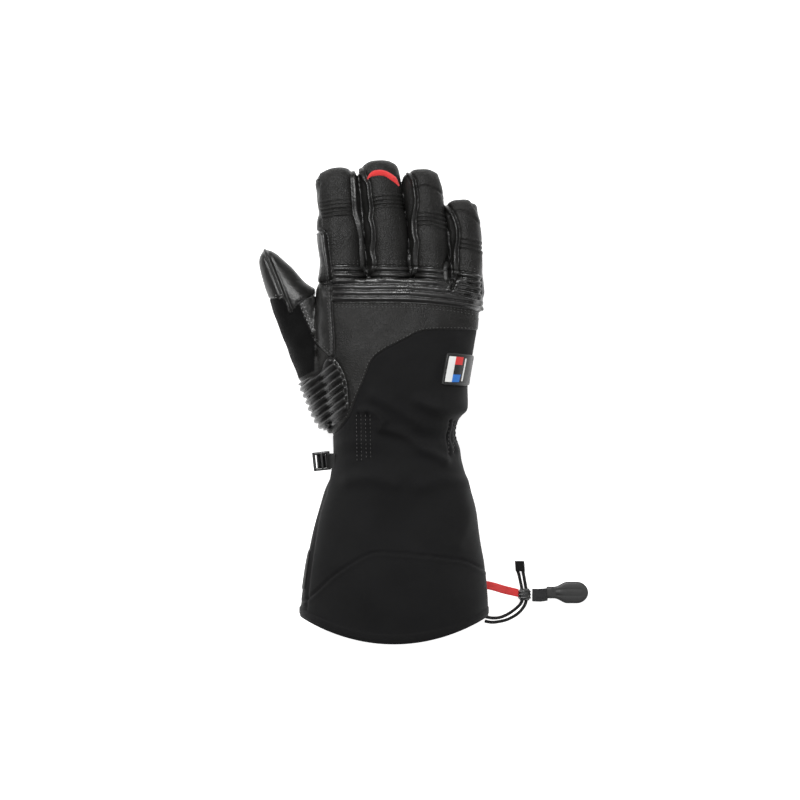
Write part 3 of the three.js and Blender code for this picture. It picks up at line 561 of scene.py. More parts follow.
def seam_hold(points):
    """From 0 to 1, how firmly each point is held: 1 on a seam, at the elastic and at the hem."""
    lines = [LEATHER_EDGE, HEM_SEAM, CUFF_SIDE_SEAM, STRIP_OUTLINE, knuckle_line(0, -46, 56)]
    lines += [line for pair in FINGER_SEAMS.values() for line in pair]
    lines += [start for start, _, _ in FINGER_RIBS.values()]
    hold = np.zeros(len(points))
    for line in lines:
        hold = np.maximum(hold, 1 - ramp(np.abs(to_line(points, spline(line), 9)), 2, 7))
    hold *= ramp(points[:, 2], 8, 20)
    hold = np.maximum(hold, 1 - ramp(np.abs(points[:, 1] - WRIST_Y), 4, 16))
    hold = np.maximum(hold, 1 - ramp(points[:, 1] - hem_line_y(points[:, 0]), 4, 16))
    return np.maximum(hold, 1 - ramp(points[:, 2], 3, 9))


def puffed(mesh):
    """The cloth simulation: a coarse copy of the glove is blown up a little, and held along its seams.
    Returns how far each point of mesh moves."""
    coarse = remeshed(*base_volumes(), CLOTH_VOXEL)
    start = points_of(coarse)
    set_points(coarse, start * MM)
    cloth = bpy.data.objects.new("cloth", coarse)
    bpy.context.collection.objects.link(cloth)
    group = cloth.vertex_groups.new(name="held")
    for i, weight in enumerate(seam_hold(start).tolist()):
        group.add([i], weight, "REPLACE")
    modifier = cloth.modifiers.new("cloth", "CLOTH")
    settings = modifier.settings
    settings.quality = 6
    settings.use_pressure = True
    settings.uniform_pressure_force = CLOTH_PRESSURE
    settings.vertex_group_mass = "held"
    settings.effector_weights.gravity = 0
    modifier.point_cache.frame_start = 1
    modifier.point_cache.frame_end = CLOTH_FRAMES
    scene = bpy.context.scene
    for frame_number in range(1, CLOTH_FRAMES + 1):
        scene.frame_set(frame_number)
    moved = points_of(evaluated(cloth)) / MM - start
    scene.frame_set(1)
    size = np.linalg.norm(moved, axis=1)[:, None]
    moved *= np.minimum(1, CLOTH_LIMIT / np.maximum(size, 1e-9))
    return carried(start, moved, points_of(mesh))


def carried(sources, moves, points, count=6):
    """Each point's move, as a mean of the nearest sources' moves."""
    tree = KDTree(len(sources))
    for i, source in enumerate(sources.tolist()):
        tree.insert(source, i)
    tree.balance()
    out = np.zeros_like(points)
    for i, point in enumerate(points.tolist()):
        found = tree.find_n(point, count)
        weights = np.array([1 / (distance**2 + 4) for _, _, distance in found])
        out[i] = weights @ moves[[index for _, index, _ in found]] / weights.sum()
    return out


def fine_mesh():
    """The glove's outside as one even mesh, open at the hem, with small faces where the detail is."""
    mesh = remeshed(*base_volumes(), SKIN_VOXEL)
    points = relaxed(points_of(mesh), edges_of(mesh), 6)
    set_points(mesh, points + puffed(mesh))
    bm = bmesh.new()
    bm.from_mesh(mesh)
    low = [f for f in bm.faces if f.calc_center_median().y < hem_line_y(f.calc_center_median().x)]
    bmesh.ops.delete(bm, geom=low, context="FACES")
    for vert in bm.verts:
        if vert.is_boundary:
            vert.co.y = hem_line_y(vert.co.x)
    detailed = [f for f in bm.faces if f.calc_center_median().y > 0 and f.normal.z > -0.35]
    edges = {e for f in detailed for e in f.edges}
    bmesh.ops.subdivide_edges(bm, edges=list(edges), cuts=1, use_grid_fill=True)
    bm.to_mesh(mesh)
    bm.free()
    points = points_of(mesh)
    smooth = relaxed(points, edges_of(mesh), 3)
    held = points[:, 1] < hem_line_y(points[:, 0]) + 2
    smooth[held] = points[held]
    # The crease where the thumb meets the hand is padded over by the ribbed panel.
    crease = ramp(closed_distance(smooth, rounded(THUMB_RIBS_OUTLINE), 9), -8, 0) * ramp(smooth[:, 2], 10, 18)
    filled = relaxed(smooth, edges_of(mesh), 40, grow=0.3)
    smooth += crease[:, None] * (filled - smooth)
    set_points(mesh, smooth)
    return mesh


FINGER_CLAIM = 1.55  # a finger takes in points up to this many half widths from its middle line


class Place:
    """Where the points are: the limb each belongs to, how far along it, and which way it faces."""

    def __init__(self, points, normals):
        self.points = points
        self.normals = normals
        self.up = normals[:, 2]
        self.finger = np.full(len(points), -1)
        self.s = np.full(len(points), -999.0)
        best = np.full(len(points), FINGER_CLAIM)
        for i, finger in enumerate(FINGERS.values()):
            along, across, _ = limb_frame(finger["lean"], FINGER_DROP)
            local = points - np.array(finger["web"])
            s = local @ along
            half = np.interp(s / finger["length"], [0, 1], finger["wide"]) / 2
            q = np.abs(local @ across) / half
            mine = (s > KNUCKLE_S - KNUCKLE_REACH) & (q < best)
            best[mine] = q[mine]
            self.finger[mine] = i
            self.s[mine] = s[mine]
        along, _, _ = limb_frame(THUMB_LEAN, THUMB_DROP)
        self.thumb_s = (points - np.array(THUMB_ROOT)) @ along
        self.thumb = (self.thumb_s > 0) & (points[:, 0] < THUMB_WALL_X + THUMB_WALL_SLACK)
        self.finger[self.thumb] = -1


def knuckle_low_y(x):
    """The lowest edge of the knuckle ribs, which bows down towards the little finger."""
    return 91.7 - 0.0015 * np.maximum(x + 8, 0) ** 2


def knuckle_rows(points):
    """How many ribs above the lowest edge of the knuckle ribs."""
    return (points[:, 1] - knuckle_low_y(points[:, 0])) / KNUCKLE_RIB_PITCH


def rib_profile(rows, height):
    """Round ribs, one to a row, with sharp valleys."""
    return height * np.abs(np.sin(np.pi * rows)) ** 0.75


def thumb_rows(points):
    """How many ribs along the panel at the base of the thumb."""
    a = math.radians(THUMB_RIBS_ANGLE)
    off = points[:, :2] - np.array(THUMB_RIBS_FROM)
    return (off[:, 1] * math.cos(a) - off[:, 0] * math.sin(a)) / THUMB_RIBS_PITCH


def between_fingers(points):
    """Whether each point, seen from above, is in the gap between two fingers."""
    out = np.zeros(len(points), bool)
    keys = list(FINGER_SEAMS)
    for here, beyond in zip(keys[:-1], keys[1:]):
        right, left = FINGER_SEAMS[here][1], FINGER_SEAMS[beyond][0]
        past = to_line(points, spline(right), 12) > 0
        before = to_line(points, spline(left), 12) < 0
        gap = (points[:, 0] > right[0][0] - 12) & (points[:, 0] < right[-1][0] + 12)
        out |= past & before & gap & (points[:, 1] > right[-1][1])
    return out


def labels_of(place):
    """The name of the piece that each point, here a face's middle, belongs to."""
    points, up = place.points, place.up
    x, y, z = points.T
    name = np.full(len(points), "palm_panel", dtype=object)
    top = z > PALM_SIDE_Z
    name[top] = "back_of_hand"
    softshell = to_line(points, spline(LEATHER_EDGE), WHOLE) > 0
    name[top & softshell] = "softshell_back"
    rows = knuckle_rows(points)
    ribs = (rows > 0) & (rows < KNUCKLE_RIB_COUNT) & (x > KNUCKLE_LEFT_X) & (x < KNUCKLE_RIGHT_X)
    ribs &= (up > -0.1) & ~between_fingers(points)
    name[top & ribs] = "knuckle_ribs"
    strip = within(points, STRIP_OUTLINE) & (up > -0.35) & ~place.thumb
    name[strip & (z > STRIP_LOW_Z)] = "index_side_strip"
    thumb_ribs = within(points, rounded(THUMB_RIBS_OUTLINE)) & (up > -0.45) & (z > THUMB_RIBS_LOW_Z)
    name[thumb_ribs] = "thumb_base_ribs"
    cuff = y < CUFF_TOP_Y
    back = cuff & (z > CUFF_SIDE_Z)
    low = to_line(points, spline(HEM_SEAM), WHOLE) < 0
    name[cuff & ~thumb_ribs] = "gauntlet_palm"
    side = cuff & (x < 0) & (z > GUSSET_LOW_Z) & (to_line(points, spline(CUFF_SIDE_SEAM), WHOLE) < 0)
    name[back & ~thumb_ribs] = "gauntlet_back"
    name[side & ~thumb_ribs] = "side_gusset"
    name[back & low & ~side] = "hem_panel"
    for i, (key, finger) in enumerate(FINGERS.items()):
        mine = place.finger == i
        left, right = (spline(seam) for seam in FINGER_SEAMS[key])
        dorsal = (to_line(points, left, WHOLE) > 0) & (to_line(points, right, WHOLE) < 0) & (up > -0.2)
        split = finger["middle"] - (LITTLE_REACH if key == "little" else MIDDLE_REACH)
        end = mine & (place.s > split)
        root = mine & ~end
        name[root] = key + "_palm"
        name[root & dorsal] = key + "_back"
        name[root & ribs] = key + "_knuckle_ribs"
        name[end] = key + "_tip"
        name[end & dorsal] = key + "_end_back"
        name[root & strip] = key + "_finger_strip"
    thumb_end = place.thumb & (place.thumb_s > THUMB_KNUCKLE_S - THUMB_BEND_REACH - 2)
    name[place.thumb] = "thumb_palm"
    name[place.thumb & (up > 0)] = "thumb_back"
    name[thumb_end] = "thumb_end_suede"
    patch = place.thumb & within(points, THUMB_PATCH) & (up > 0)
    name[patch] = "thumb_patch"
    name[patch & thumb_end] = "thumb_end_patch"
    capped = to_line(points, spline(THUMB_CAP_SEAM), WHOLE) < 0
    name[thumb_end & capped] = "thumb_tip"
    name[thumb_ribs] = "thumb_base_ribs"
    return name


KNUCKLE_RIB_HIGH = 2.2
FINGER_RIB_HIGH = 1.3
THUMB_RIB_HIGH = 2.4


def knuckle_heights(place, seam_distance):
    """The padded ribs over the knuckles, with a groove below the lowest and one above the highest."""
    x, _, z = place.points.T
    rows = knuckle_rows(place.points)
    edge = np.minimum.reduce([rows * KNUCKLE_RIB_PITCH, (KNUCKLE_RIB_COUNT - rows) * KNUCKLE_RIB_PITCH,
                              x - KNUCKLE_LEFT_X, KNUCKLE_RIGHT_X - x])
    ribbed = (edge > 0) & (place.up > -0.1) & (z > PALM_SIDE_Z - 6) & ~between_fingers(place.points)
    edge = np.minimum(edge, seam_distance)
    h = np.where(ribbed, (rib_profile(rows, KNUCKLE_RIB_HIGH) - 0.5) * ramp(edge, -0.2, 1.6), 0)
    for offset in (0, KNUCKLE_RIB_COUNT):
        line = (rows - offset) * KNUCKLE_RIB_PITCH
        h += np.where((x > KNUCKLE_LEFT_X) & (place.up > 0), bump_at(line, 0, 0.7, -0.6), 0)
    return h


def finger_heights(place):
    """Each finger's pillowy back between two rolled seams, with its ribs and its tip seam.
    Also returns each point's distance to the nearest finger seam."""
    h = np.zeros(len(place.points))
    nearest = np.full(len(place.points), 100.0)
    facing_up = ramp(place.up, -0.15, 0.15)
    for i, key in enumerate(FINGERS):
        mine = place.finger == i
        left, right = (spline(seam) for seam in FINGER_SEAMS[key])
        d_left = to_line(place.points, left, FINGER_SEAM_REACH)
        d_right = -to_line(place.points, right, FINGER_SEAM_REACH)
        d = np.where(np.abs(d_left) < np.abs(d_right), d_left, d_right)
        seam = bump_at(d, 0, 0.75, -1.1)
        seam += np.where(d < 0, bump_at(-d, 1.7, 0.8, 0.9), 0)
        seam += np.where(d > 0, 0.5 - 0.9 * np.exp(-d / 1.5), 0)
        h += np.where(mine, seam * facing_up, 0)
        start, count, pitch = FINGER_RIBS[key]
        t = to_line(place.points, spline(start), 25) / pitch
        small = mine & (d_left > 0) & (d_right > 0) & (t > 0) & (t < count)
        fade = ramp(d, 0.3, 1.8) * (1 - 0.45 * np.clip(t / count, 0, 1))
        h += np.where(small, (rib_profile(t, FINGER_RIB_HIGH) - 0.5) * fade * facing_up, 0)
        if key in TIP_SEAMS:
            cap = to_line(place.points, spline(TIP_SEAMS[key]), 8)
            step = np.where(cap > 0, 0.35, 0) * np.exp(-np.abs(cap) / 4) + bump_at(cap, 0, 0.6, -0.7)
            h += np.where(mine & (np.abs(cap) < 8), step * facing_up, 0)
        nearest = np.minimum(nearest, np.minimum(np.abs(d_left), np.abs(d_right)))
    return h, nearest


def wall_heights(place):
    """The walls between the fingers nearly touch, and the thumb tucks in beside the index strip."""
    x, y, _ = place.points.T
    across = place.normals[:, 0]
    wall = ramp(np.abs(across), 0.5, 0.95)
    h = np.where(place.finger >= 0, 0.9 * wall * ramp(place.s, 6, 24), 0)
    h += np.where(place.thumb & (across > 0), 1.2 * wall * ramp(place.thumb_s, 4, 20), 0)
    root = bump_at(y, 103, 9, 2.8) * ramp(-x, 48, 52)
    return h + np.where(~place.thumb, root * ramp(-across, 0.2, 0.8), 0)


def strip_heights(place):
    """The strip along the index finger, with its rolled edge and its cross seam."""
    strip = closed_distance(place.points, STRIP_OUTLINE)
    raised = 0.5 * ramp(strip, 0, 0.8) + bump_at(strip, 1.0, 0.7, 0.4) - bump_at(strip, -0.5, 0.6, 0.7)
    cross = bump_at(place.points[:, 1], STRIP_CROSS_Y, 0.6, 0.7)
    shown = (strip > -6) & ~place.thumb & (place.up > -0.35)
    return np.where(shown, raised - np.where(strip > 0, cross, 0), 0)


def thumb_rib_heights(place, panel):
    """The ribs at the base of the thumb. panel is the distance inside their outline."""
    on_panel = (panel > -2) & (place.up > -0.45) & (place.points[:, 2] > THUMB_RIBS_LOW_Z)
    ribs = (rib_profile(thumb_rows(place.points), THUMB_RIB_HIGH) - 0.2) * ramp(panel, 0, 1.6)
    return np.where(on_panel, ribs - bump_at(panel, -0.2, 0.8, 0.6), 0)


def leather_edge_heights(place, leather, panel):
    """The leather's edge stands over the softshell. leather is the distance inside the leather."""
    on_hand = (place.finger < 0) & ~place.thumb & (place.points[:, 2] > PALM_SIDE_Z) & (panel < 0)
    step = 0.55 * ramp(leather, -0.2, 0.6) * np.exp(-np.maximum(leather, 0) / 9)
    step -= bump_at(leather, -0.4, 0.7, 0.45)
    return np.where((np.abs(leather) < 8) & on_hand, step, 0)


def cuff_seam_heights(place):
    """The hem seam, the gusset's seam and the darts, where the elastic draws the cloth in."""
    x, y, z = place.points.T
    h = np.zeros(len(place.points))
    for line, zone in ((HEM_SEAM, z > CUFF_SIDE_Z), (CUFF_SIDE_SEAM, (z > GUSSET_LOW_Z) & (x < -35))):
        d = to_line(place.points, spline(line), 8)
        seam = bump_at(d, 0, 0.8, -0.9) + np.where(d < 0, bump_at(-d, 1.9, 1.1, 0.35), 0)
        h += np.where((np.abs(d) < 8) & zone & (y < 12), seam, 0)
    for dart in DARTS:
        d = to_line(place.points, dart, 9)
        drawn_in = bump_at(d, 0, 1.1, 1.0) + 0.6 * np.exp(-np.abs(d) / 4)
        h -= np.where((np.abs(d) < 9) & (z > 30), drawn_in, 0)
    return h


def cloth_heights(place, leather):
    """Soft folds at the wrist and long, shallow waves on the cuff."""
    _, y, z = place.points.T
    cloth = np.where(y < 90, ramp(-leather, 0, 10), 0) * ramp(place.up, -0.4, 0.4)
    h = cloth * bump_at(y, 4, 24, 3.0) * noise_at(place.points, (34, 10, 40), 3.1)
    for line, high, wide in CUFF_FOLDS:
        d = to_line(place.points, spline(line), 20)
        h += cloth * np.where(np.abs(d) < 20, bump_at(d, 0, wide, high), 0)
    h += ramp(-y, -20, 20) * 2.0 * noise_at(place.points, (30, 40, 40), 7.7)
    crease = to_line(place.points, spline(CUFF_CREASE), 20)
    return h + np.where((np.abs(crease) < 20) & (z > 20), bump_at(crease, 0, 5, 1.3), 0)


def leather_heights(place):
    """The leather's slow unevenness and its fine creases, which run across the fingers."""
    leathery = ramp(place.points[:, 1], 10, 40)
    uneven = 0.6 * noise_at(place.points, (10, 12, 12), 1.3)
    creased = ramp(np.abs(noise_at(place.points, (14, 12, 14), 9)), 0.1, 0.5)
    return leathery * (uneven + 0.08 * noise_at(place.points, (6, 2, 4), 5.9) * creased)


def heel_heights(place):
    """The heel of the hand bulges over the elastic, most of all at the little finger's side."""
    x, y, z = place.points.T
    return ramp(x, 10, 38) * (bump_at(y, 25, 8, 2.2) - bump_at(y, 4, 9, 2.0)) * ramp(z, 2, 14)


def thumb_heights(place):
    """The thumb's middle seam, its patch and the edge of its leather tip."""
    ridge = to_line(place.points, spline(THUMB_RIDGE), 8)
    ridge_h = bump_at(ridge, 0, 1.1, 1.1) - bump_at(np.abs(ridge), 1.8, 0.7, 0.6)
    h = np.where((np.abs(ridge) < 8) & (place.up > 0), ridge_h, 0)
    cap = to_line(place.points, spline(THUMB_CAP_SEAM), 6)
    h += np.where((np.abs(cap) < 6) & (place.up > -0.3), bump_at(cap, 0, 0.7, -0.6), 0)
    patch = closed_distance(place.points, THUMB_PATCH)
    edge = 0.5 * ramp(patch, 0, 0.7) + bump_at(patch, -0.3, 0.6, -0.5)
    h += np.where((patch > -4) & (place.up > 0), edge, 0)
    return np.where(place.thumb, h, 0)


def heights(place):
    """How far the seams, ribs, folds and creases stand out from the smooth skin."""
    x, y, _ = place.points.T
    panel = closed_distance(place.points, rounded(THUMB_RIBS_OUTLINE))
    leather = -to_line(place.points, spline(LEATHER_EDGE), WHOLE)
    h, seam_distance = finger_heights(place)
    h += knuckle_heights(place, seam_distance)
    h += wall_heights(place)
    h += strip_heights(place)
    h += thumb_rib_heights(place, panel)
    h += leather_edge_heights(place, leather, panel)
    h += cuff_seam_heights(place)
    h += cloth_heights(place, leather)
    h += leather_heights(place)
    h += heel_heights(place)
    h *= ramp(y - hem_line_y(x), 0, 14)  # the hem keeps its line
    return h + thumb_heights(place)


SKIN_LOW_Z = 0.2  # the skin lies on the table


def skin_pieces(mesh):
    """Displaces the skin and returns its points, normals, faces and each face's label."""
    points = points_of(mesh)
    normals = normals_of(mesh)
    moved = points + heights(Place(points, normals))[:, None] * normals
    moved[:, 2] = np.maximum(moved[:, 2], SKIN_LOW_Z)
    set_points(mesh, moved)
    final_normals = normals_of(mesh)
    faces = [tuple(p.vertices) for p in mesh.polygons]
    centres = np.array([points[list(f)].mean(axis=0) for f in faces])
    face_normals = np.array([normals[f[0]] for f in faces])
    return moved, final_normals, faces, labels_of(Place(centres, face_normals))


# ---------- materials ----------
def new_material(name, colour, roughness, **sockets):
    """A Principled material. Its constant values are set on the shader's own sockets."""
    material = bpy.data.materials.new(name)
    material.use_nodes = True
    shader = material.node_tree.nodes["Principled BSDF"]
    shader.inputs["Base Color"].default_value = (*colour, 1)
    shader.inputs["Roughness"].default_value = roughness
    for key, value in sockets.items():
        shader.inputs[key.replace("_", " ")].default_value = value
    return material, material.node_tree, shader


def texture(tree, kind, scale, stretch=(1, 1, 1), **settings):
    """A procedural texture in object coordinates. scale is in features per metre."""
    coordinates = tree.nodes.new("ShaderNodeTexCoord")
    mapping = tree.nodes.new("ShaderNodeMapping")
    mapping.inputs["Scale"].default_value = stretch
    node = tree.nodes.new(kind)
    node.inputs["Scale"].default_value = scale
    for key, value in settings.items():
        if key in node.inputs:
            node.inputs[key].default_value = value
        else:
            setattr(node, key, value)
    tree.links.new(coordinates.outputs["Object"], mapping.inputs["Vector"])
    tree.links.new(mapping.outputs["Vector"], node.inputs["Vector"])
    return node


def add_bump(tree, shader, height, strength, distance):
    """Adds a bump on top of any bump that the shader has."""
    bump = tree.nodes.new("ShaderNodeBump")
    bump.inputs["Strength"].default_value = strength
    bump.inputs["Distance"].default_value = distance
    if shader.inputs["Normal"].is_linked:
        tree.links.new(shader.inputs["Normal"].links[0].from_socket, bump.inputs["Normal"])
    tree.links.new(height, bump.inputs["Height"])
    tree.links.new(bump.outputs["Normal"], shader.inputs["Normal"])


def add_variation(tree, shader, socket, source, low, high):
    """Drives a socket between two values, or two colours, by a texture."""
    mix = tree.nodes.new("ShaderNodeValToRGB")
    for stop, value in zip(mix.color_ramp.elements, (low, high)):
        stop.color = (*value, 1) if hasattr(value, "__len__") else (value, value, value, 1)
    mix.color_ramp.elements[0].position = 0.3
    mix.color_ramp.elements[1].position = 0.7
    tree.links.new(source, mix.inputs["Fac"])
    tree.links.new(mix.outputs["Color"], shader.inputs[socket])


def leather_material(name, tone, roughness, shine, grain, grain_scale):
    """Leather with a pebbled grain and fine creases."""
    colour = (tone, tone, tone * 0.95)
    material, tree, shader = new_material(name, colour, roughness, Specular_IOR_Level=shine)
    clouds = texture(tree, "ShaderNodeTexNoise", 60, Detail=4)
    add_variation(tree, shader, "Base Color", clouds.outputs["Fac"],
                  [tone * 0.75, tone * 0.74, tone * 0.7], [tone * 1.3, tone * 1.27, tone * 1.2])
    add_variation(tree, shader, "Roughness", clouds.outputs["Fac"], roughness - 0.07, roughness + 0.08)
    pebbles = texture(tree, "ShaderNodeTexVoronoi", grain_scale, feature="SMOOTH_F1")
    add_bump(tree, shader, pebbles.outputs["Distance"], grain, 0.0006)
    creases = texture(tree, "ShaderNodeTexNoise", 380, (1, 1.8, 1), Detail=6, Roughness=0.6)
    add_bump(tree, shader, creases.outputs["Fac"], 0.35, 0.0006)
    return material


def cloth_material(name, colour, roughness, weave_scale, depth, sheen=0.2):
    """Woven cloth, as two crossed waves."""
    material, tree, shader = new_material(name, colour, roughness, Specular_IOR_Level=0.15,
                                          Sheen_Weight=sheen, Sheen_Roughness=0.5)
    clouds = texture(tree, "ShaderNodeTexNoise", 45, Detail=3)
    add_variation(tree, shader, "Base Color", clouds.outputs["Fac"],
                  [c * 0.85 for c in colour], [c * 1.15 for c in colour])
    warp = texture(tree, "ShaderNodeTexWave", weave_scale, bands_direction="X", Distortion=0.6)
    weft = texture(tree, "ShaderNodeTexWave", weave_scale, bands_direction="Y", Distortion=0.6)
    add_bump(tree, shader, warp.outputs["Fac"], depth, 0.0002)
    add_bump(tree, shader, weft.outputs["Fac"], depth, 0.0002)
    return material


def nap_material(name, colour, scale, depth, sheen):
    """Suede or fleece: a fine uneven nap."""
    material, tree, shader = new_material(name, colour, 0.95, Specular_IOR_Level=0.15,
                                          Sheen_Weight=sheen, Sheen_Roughness=0.4)
    clouds = texture(tree, "ShaderNodeTexNoise", 90, Detail=5)
    add_variation(tree, shader, "Base Color", clouds.outputs["Fac"],
                  [c * 0.6 for c in colour], [c * 1.5 for c in colour])
    nap = texture(tree, "ShaderNodeTexNoise", scale, Detail=6, Roughness=0.7)
    add_bump(tree, shader, nap.outputs["Fac"], depth, 0.0008)
    return material


def plastic_material(name, colour, roughness, coat=0.0):
    """Moulded plastic or rubber with a faint texture."""
    material, tree, shader = new_material(name, colour, roughness, Coat_Weight=coat)
    fine = texture(tree, "ShaderNodeTexNoise", 900, Detail=3)
    add_variation(tree, shader, "Roughness", fine.outputs["Fac"], roughness * 0.8, roughness * 1.2)
    add_bump(tree, shader, fine.outputs["Fac"], 0.08, 0.0002)
    return material


MATERIALS = {
    "grain_leather": leather_material("grain_leather", 0.0095, 0.46, 0.2, 0.6, 1500),
    "smooth_leather": leather_material("smooth_leather", 0.008, 0.36, 0.4, 0.15, 1100),
    "rib_leather": leather_material("rib_leather", 0.008, 0.3, 0.6, 0.1, 1100),
    "softshell": cloth_material("softshell", (0.0055, 0.0055, 0.0058), 0.75, 1400, 0.25, 0.03),
    "suede": nap_material("suede", (0.003, 0.003, 0.003), 1400, 0.6, 0.05),
    "fleece_lining": nap_material("fleece_lining", (0.02, 0.02, 0.022), 700, 0.9, 0.5),
    "red_webbing": cloth_material("red_webbing", (0.85, 0.05, 0.05), 0.6, 700, 0.6),
    "black_webbing": cloth_material("black_webbing", (0.006, 0.006, 0.006), 0.6, 600, 0.6, 0.05),
    "elastic_cord": cloth_material("elastic_cord", (0.008, 0.008, 0.008), 0.55, 900, 0.8, 0.08),
    "glossy_plastic": plastic_material("glossy_plastic", (0.018, 0.018, 0.018), 0.22, 0.3),
    "grey_webbing": cloth_material("grey_webbing", (0.035, 0.035, 0.037), 0.6, 600, 0.7, 0.1),
    "rubber_tab": plastic_material("rubber_tab", (0.022, 0.022, 0.022), 0.5),
    "patch_rubber": plastic_material("patch_rubber", (0.012, 0.012, 0.012), 0.45),
    "patch_white": plastic_material("patch_white", (0.75, 0.75, 0.74), 0.5),
    "patch_red": plastic_material("patch_red", (0.6, 0.03, 0.03), 0.5),
    "patch_blue": plastic_material("patch_blue", (0.02, 0.16, 0.55), 0.5),
    "stitching": cloth_material("stitching", (0.07, 0.07, 0.068), 0.55, 900, 0.4),
    "pale_stitching": cloth_material("pale_stitching", (0.3, 0.3, 0.3), 0.6, 900, 0.4),
}


# ---------- pieces ----------
def make_piece(name, verts, faces, material, normals=None, smooth=True):
    """An object from points in millimetres, with the given material."""
    mesh = bpy.data.meshes.new(name)
    mesh.from_pydata(row(verts).tolist(), [], faces)
    mesh.polygons.foreach_set("use_smooth", [smooth] * len(mesh.polygons))
    mesh.materials.append(MATERIALS[material])
    mesh.update()
    if normals is not None:
        mesh.normals_split_custom_set_from_vertices(normals.tolist())
    obj = bpy.data.objects.new(name, mesh)
    bpy.context.collection.objects.link(obj)
    return obj


def wrist_blend(obj):
    """Bakes a piece's transform into its mesh."""
    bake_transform(obj)


def blend_along(obj, a, b, middle, along, before, after):
    """Bakes a piece's transform into its mesh. a, b, middle, along, before and after are not used."""
    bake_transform(obj)


def finger_blend(obj, key, root):
    """Picks the bodies and the joint for a finger's knuckle, or for its middle joint, and bakes the piece's
    transform through blend_along.
    """
    finger = FINGERS[key]
    along, _, _ = limb_frame(finger["lean"], FINGER_DROP)
    s = KNUCKLE_S if root else finger["middle"]
    reach = KNUCKLE_REACH if root else MIDDLE_REACH
    after = reach
    if key == "little":
        after = LITTLE_REACH
        reach = reach if root else LITTLE_REACH
    bodies = ("hand", key + "_base") if root else (key + "_base", key + "_end")
    blend_along(obj, *bodies, np.array(finger["web"]) + s * along, along, reach, after)


def thumb_blend(obj, root):
    """Picks the thumb's root, or its bend, and bakes the piece's transform through blend_along."""
    along, _, _ = limb_frame(THUMB_LEAN, THUMB_DROP)
    if root:
        blend_along(obj, "hand", "thumb_base", THUMB_ROOT, along, 0, THUMB_ROOT_REACH)
    else:
        blend_along(obj, "thumb_base", "thumb_end", THUMB_KNUCKLE, along, THUMB_BEND_REACH, THUMB_BEND_REACH)


# Which material each skin piece has, and which CAD nodes it stands for.
SKIN = {
    "back_of_hand": ("grain_leather", ["back_of_hand"]),
    "softshell_back": ("softshell", ["softshell_back"]),
    "palm_panel": ("smooth_leather", ["palm_panel"]),
    "knuckle_ribs": ("rib_leather", ["knuckle_ribs"]),
    "thumb_base_ribs": ("rib_leather", ["thumb_base_ribs"]),
    "index_side_strip": ("smooth_leather", ["index_side_strip"]),
    "gauntlet_back": ("softshell", ["gauntlet_back", "wrist_elastic"]),
    "gauntlet_palm": ("softshell", ["gauntlet_palm"]),
    "side_gusset": ("softshell", ["side_gusset"]),
    "hem_panel": ("softshell", ["hem_panel"]),
    "thumb_back": ("suede", ["thumb_back"]),
    "thumb_palm": ("suede", ["thumb_palm", "thumb_liner"]),
    "thumb_patch": ("smooth_leather", ["thumb_patch"]),
    "thumb_end_patch": ("smooth_leather", []),
    "thumb_tip": ("smooth_leather", ["thumb_tip"]),
    "thumb_end_suede": ("suede", []),
    "index_finger_strip": ("smooth_leather", ["index_finger_strip"]),
}
for digit in FINGERS:
    SKIN[digit + "_palm"] = ("smooth_leather", [digit + "_palm", digit + "_liner"])
    SKIN[digit + "_back"] = ("grain_leather", [digit + "_back"])
    SKIN[digit + "_knuckle_ribs"] = ("rib_leather", [])
    SKIN[digit + "_tip"] = ("smooth_leather", [digit + "_tip"])
    SKIN[digit + "_end_back"] = ("grain_leather", [digit + "_ribs"])


def bend(obj, name):
    """Picks the joint that a piece crosses and bakes the piece's transform."""
    key = name.split("_")[0]
    if name == "index_side_strip":
        wrist_blend(obj)
    elif key in FINGERS:
        finger_blend(obj, key, not (name.endswith("_tip") or name.endswith("_end_back")))
    elif name in ("thumb_back", "thumb_palm", "thumb_patch"):
        thumb_blend(obj, True)
    elif name in ("thumb_tip", "thumb_end_suede", "thumb_end_patch"):
        thumb_blend(obj, False)
    else:
        wrist_blend(obj)


def make_skin():
    """The skin's pieces. Returns the whole skin as a tree to lay other pieces on."""
    points, normals, faces, labels = skin_pieces(fine_mesh())
    for name, (material, nodes) in SKIN.items():
        mine = [faces[i] for i in np.flatnonzero(labels == name)]
        used = np.unique(np.concatenate([np.array(f) for f in mine]))
        index = {v: i for i, v in enumerate(used)}
        own_faces = [tuple(index[v] for v in f) for f in mine]
        obj = make_piece(name + "_skin", points[used], own_faces, material, normals[used])
        bend(obj, name)
        for node in nodes:
            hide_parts(node)
    return BVHTree.FromPolygons(points.tolist(), faces)


# ---------- pieces that lie on the skin ----------
class Surface:
    """The finished skin, seen from above."""

    def __init__(self, tree):
        self.tree = tree

    def at(self, x, y):
        """The highest point of the skin over (x, y) and its normal there."""
        hit, normal, _, _ = self.tree.ray_cast(Vector((x, y, 300)), Vector((0, 0, -1)))
        if hit is None:
            hit, normal, _, _ = self.tree.find_nearest(Vector((x, y, 30)))
        if normal.z < 0:
            normal = -normal
        return np.array(hit), np.array(normal)

    def lifted(self, x, y, height):
        """A point at a height off the skin over (x, y)."""
        hit, normal = self.at(x, y)
        return hit + normal * height


def grid_faces(rows, columns):
    """The faces of a grid of points."""
    corners = [r * columns + c for r in range(rows - 1) for c in range(columns - 1)]
    return [(at, at + 1, at + columns + 1, at + columns) for at in corners]


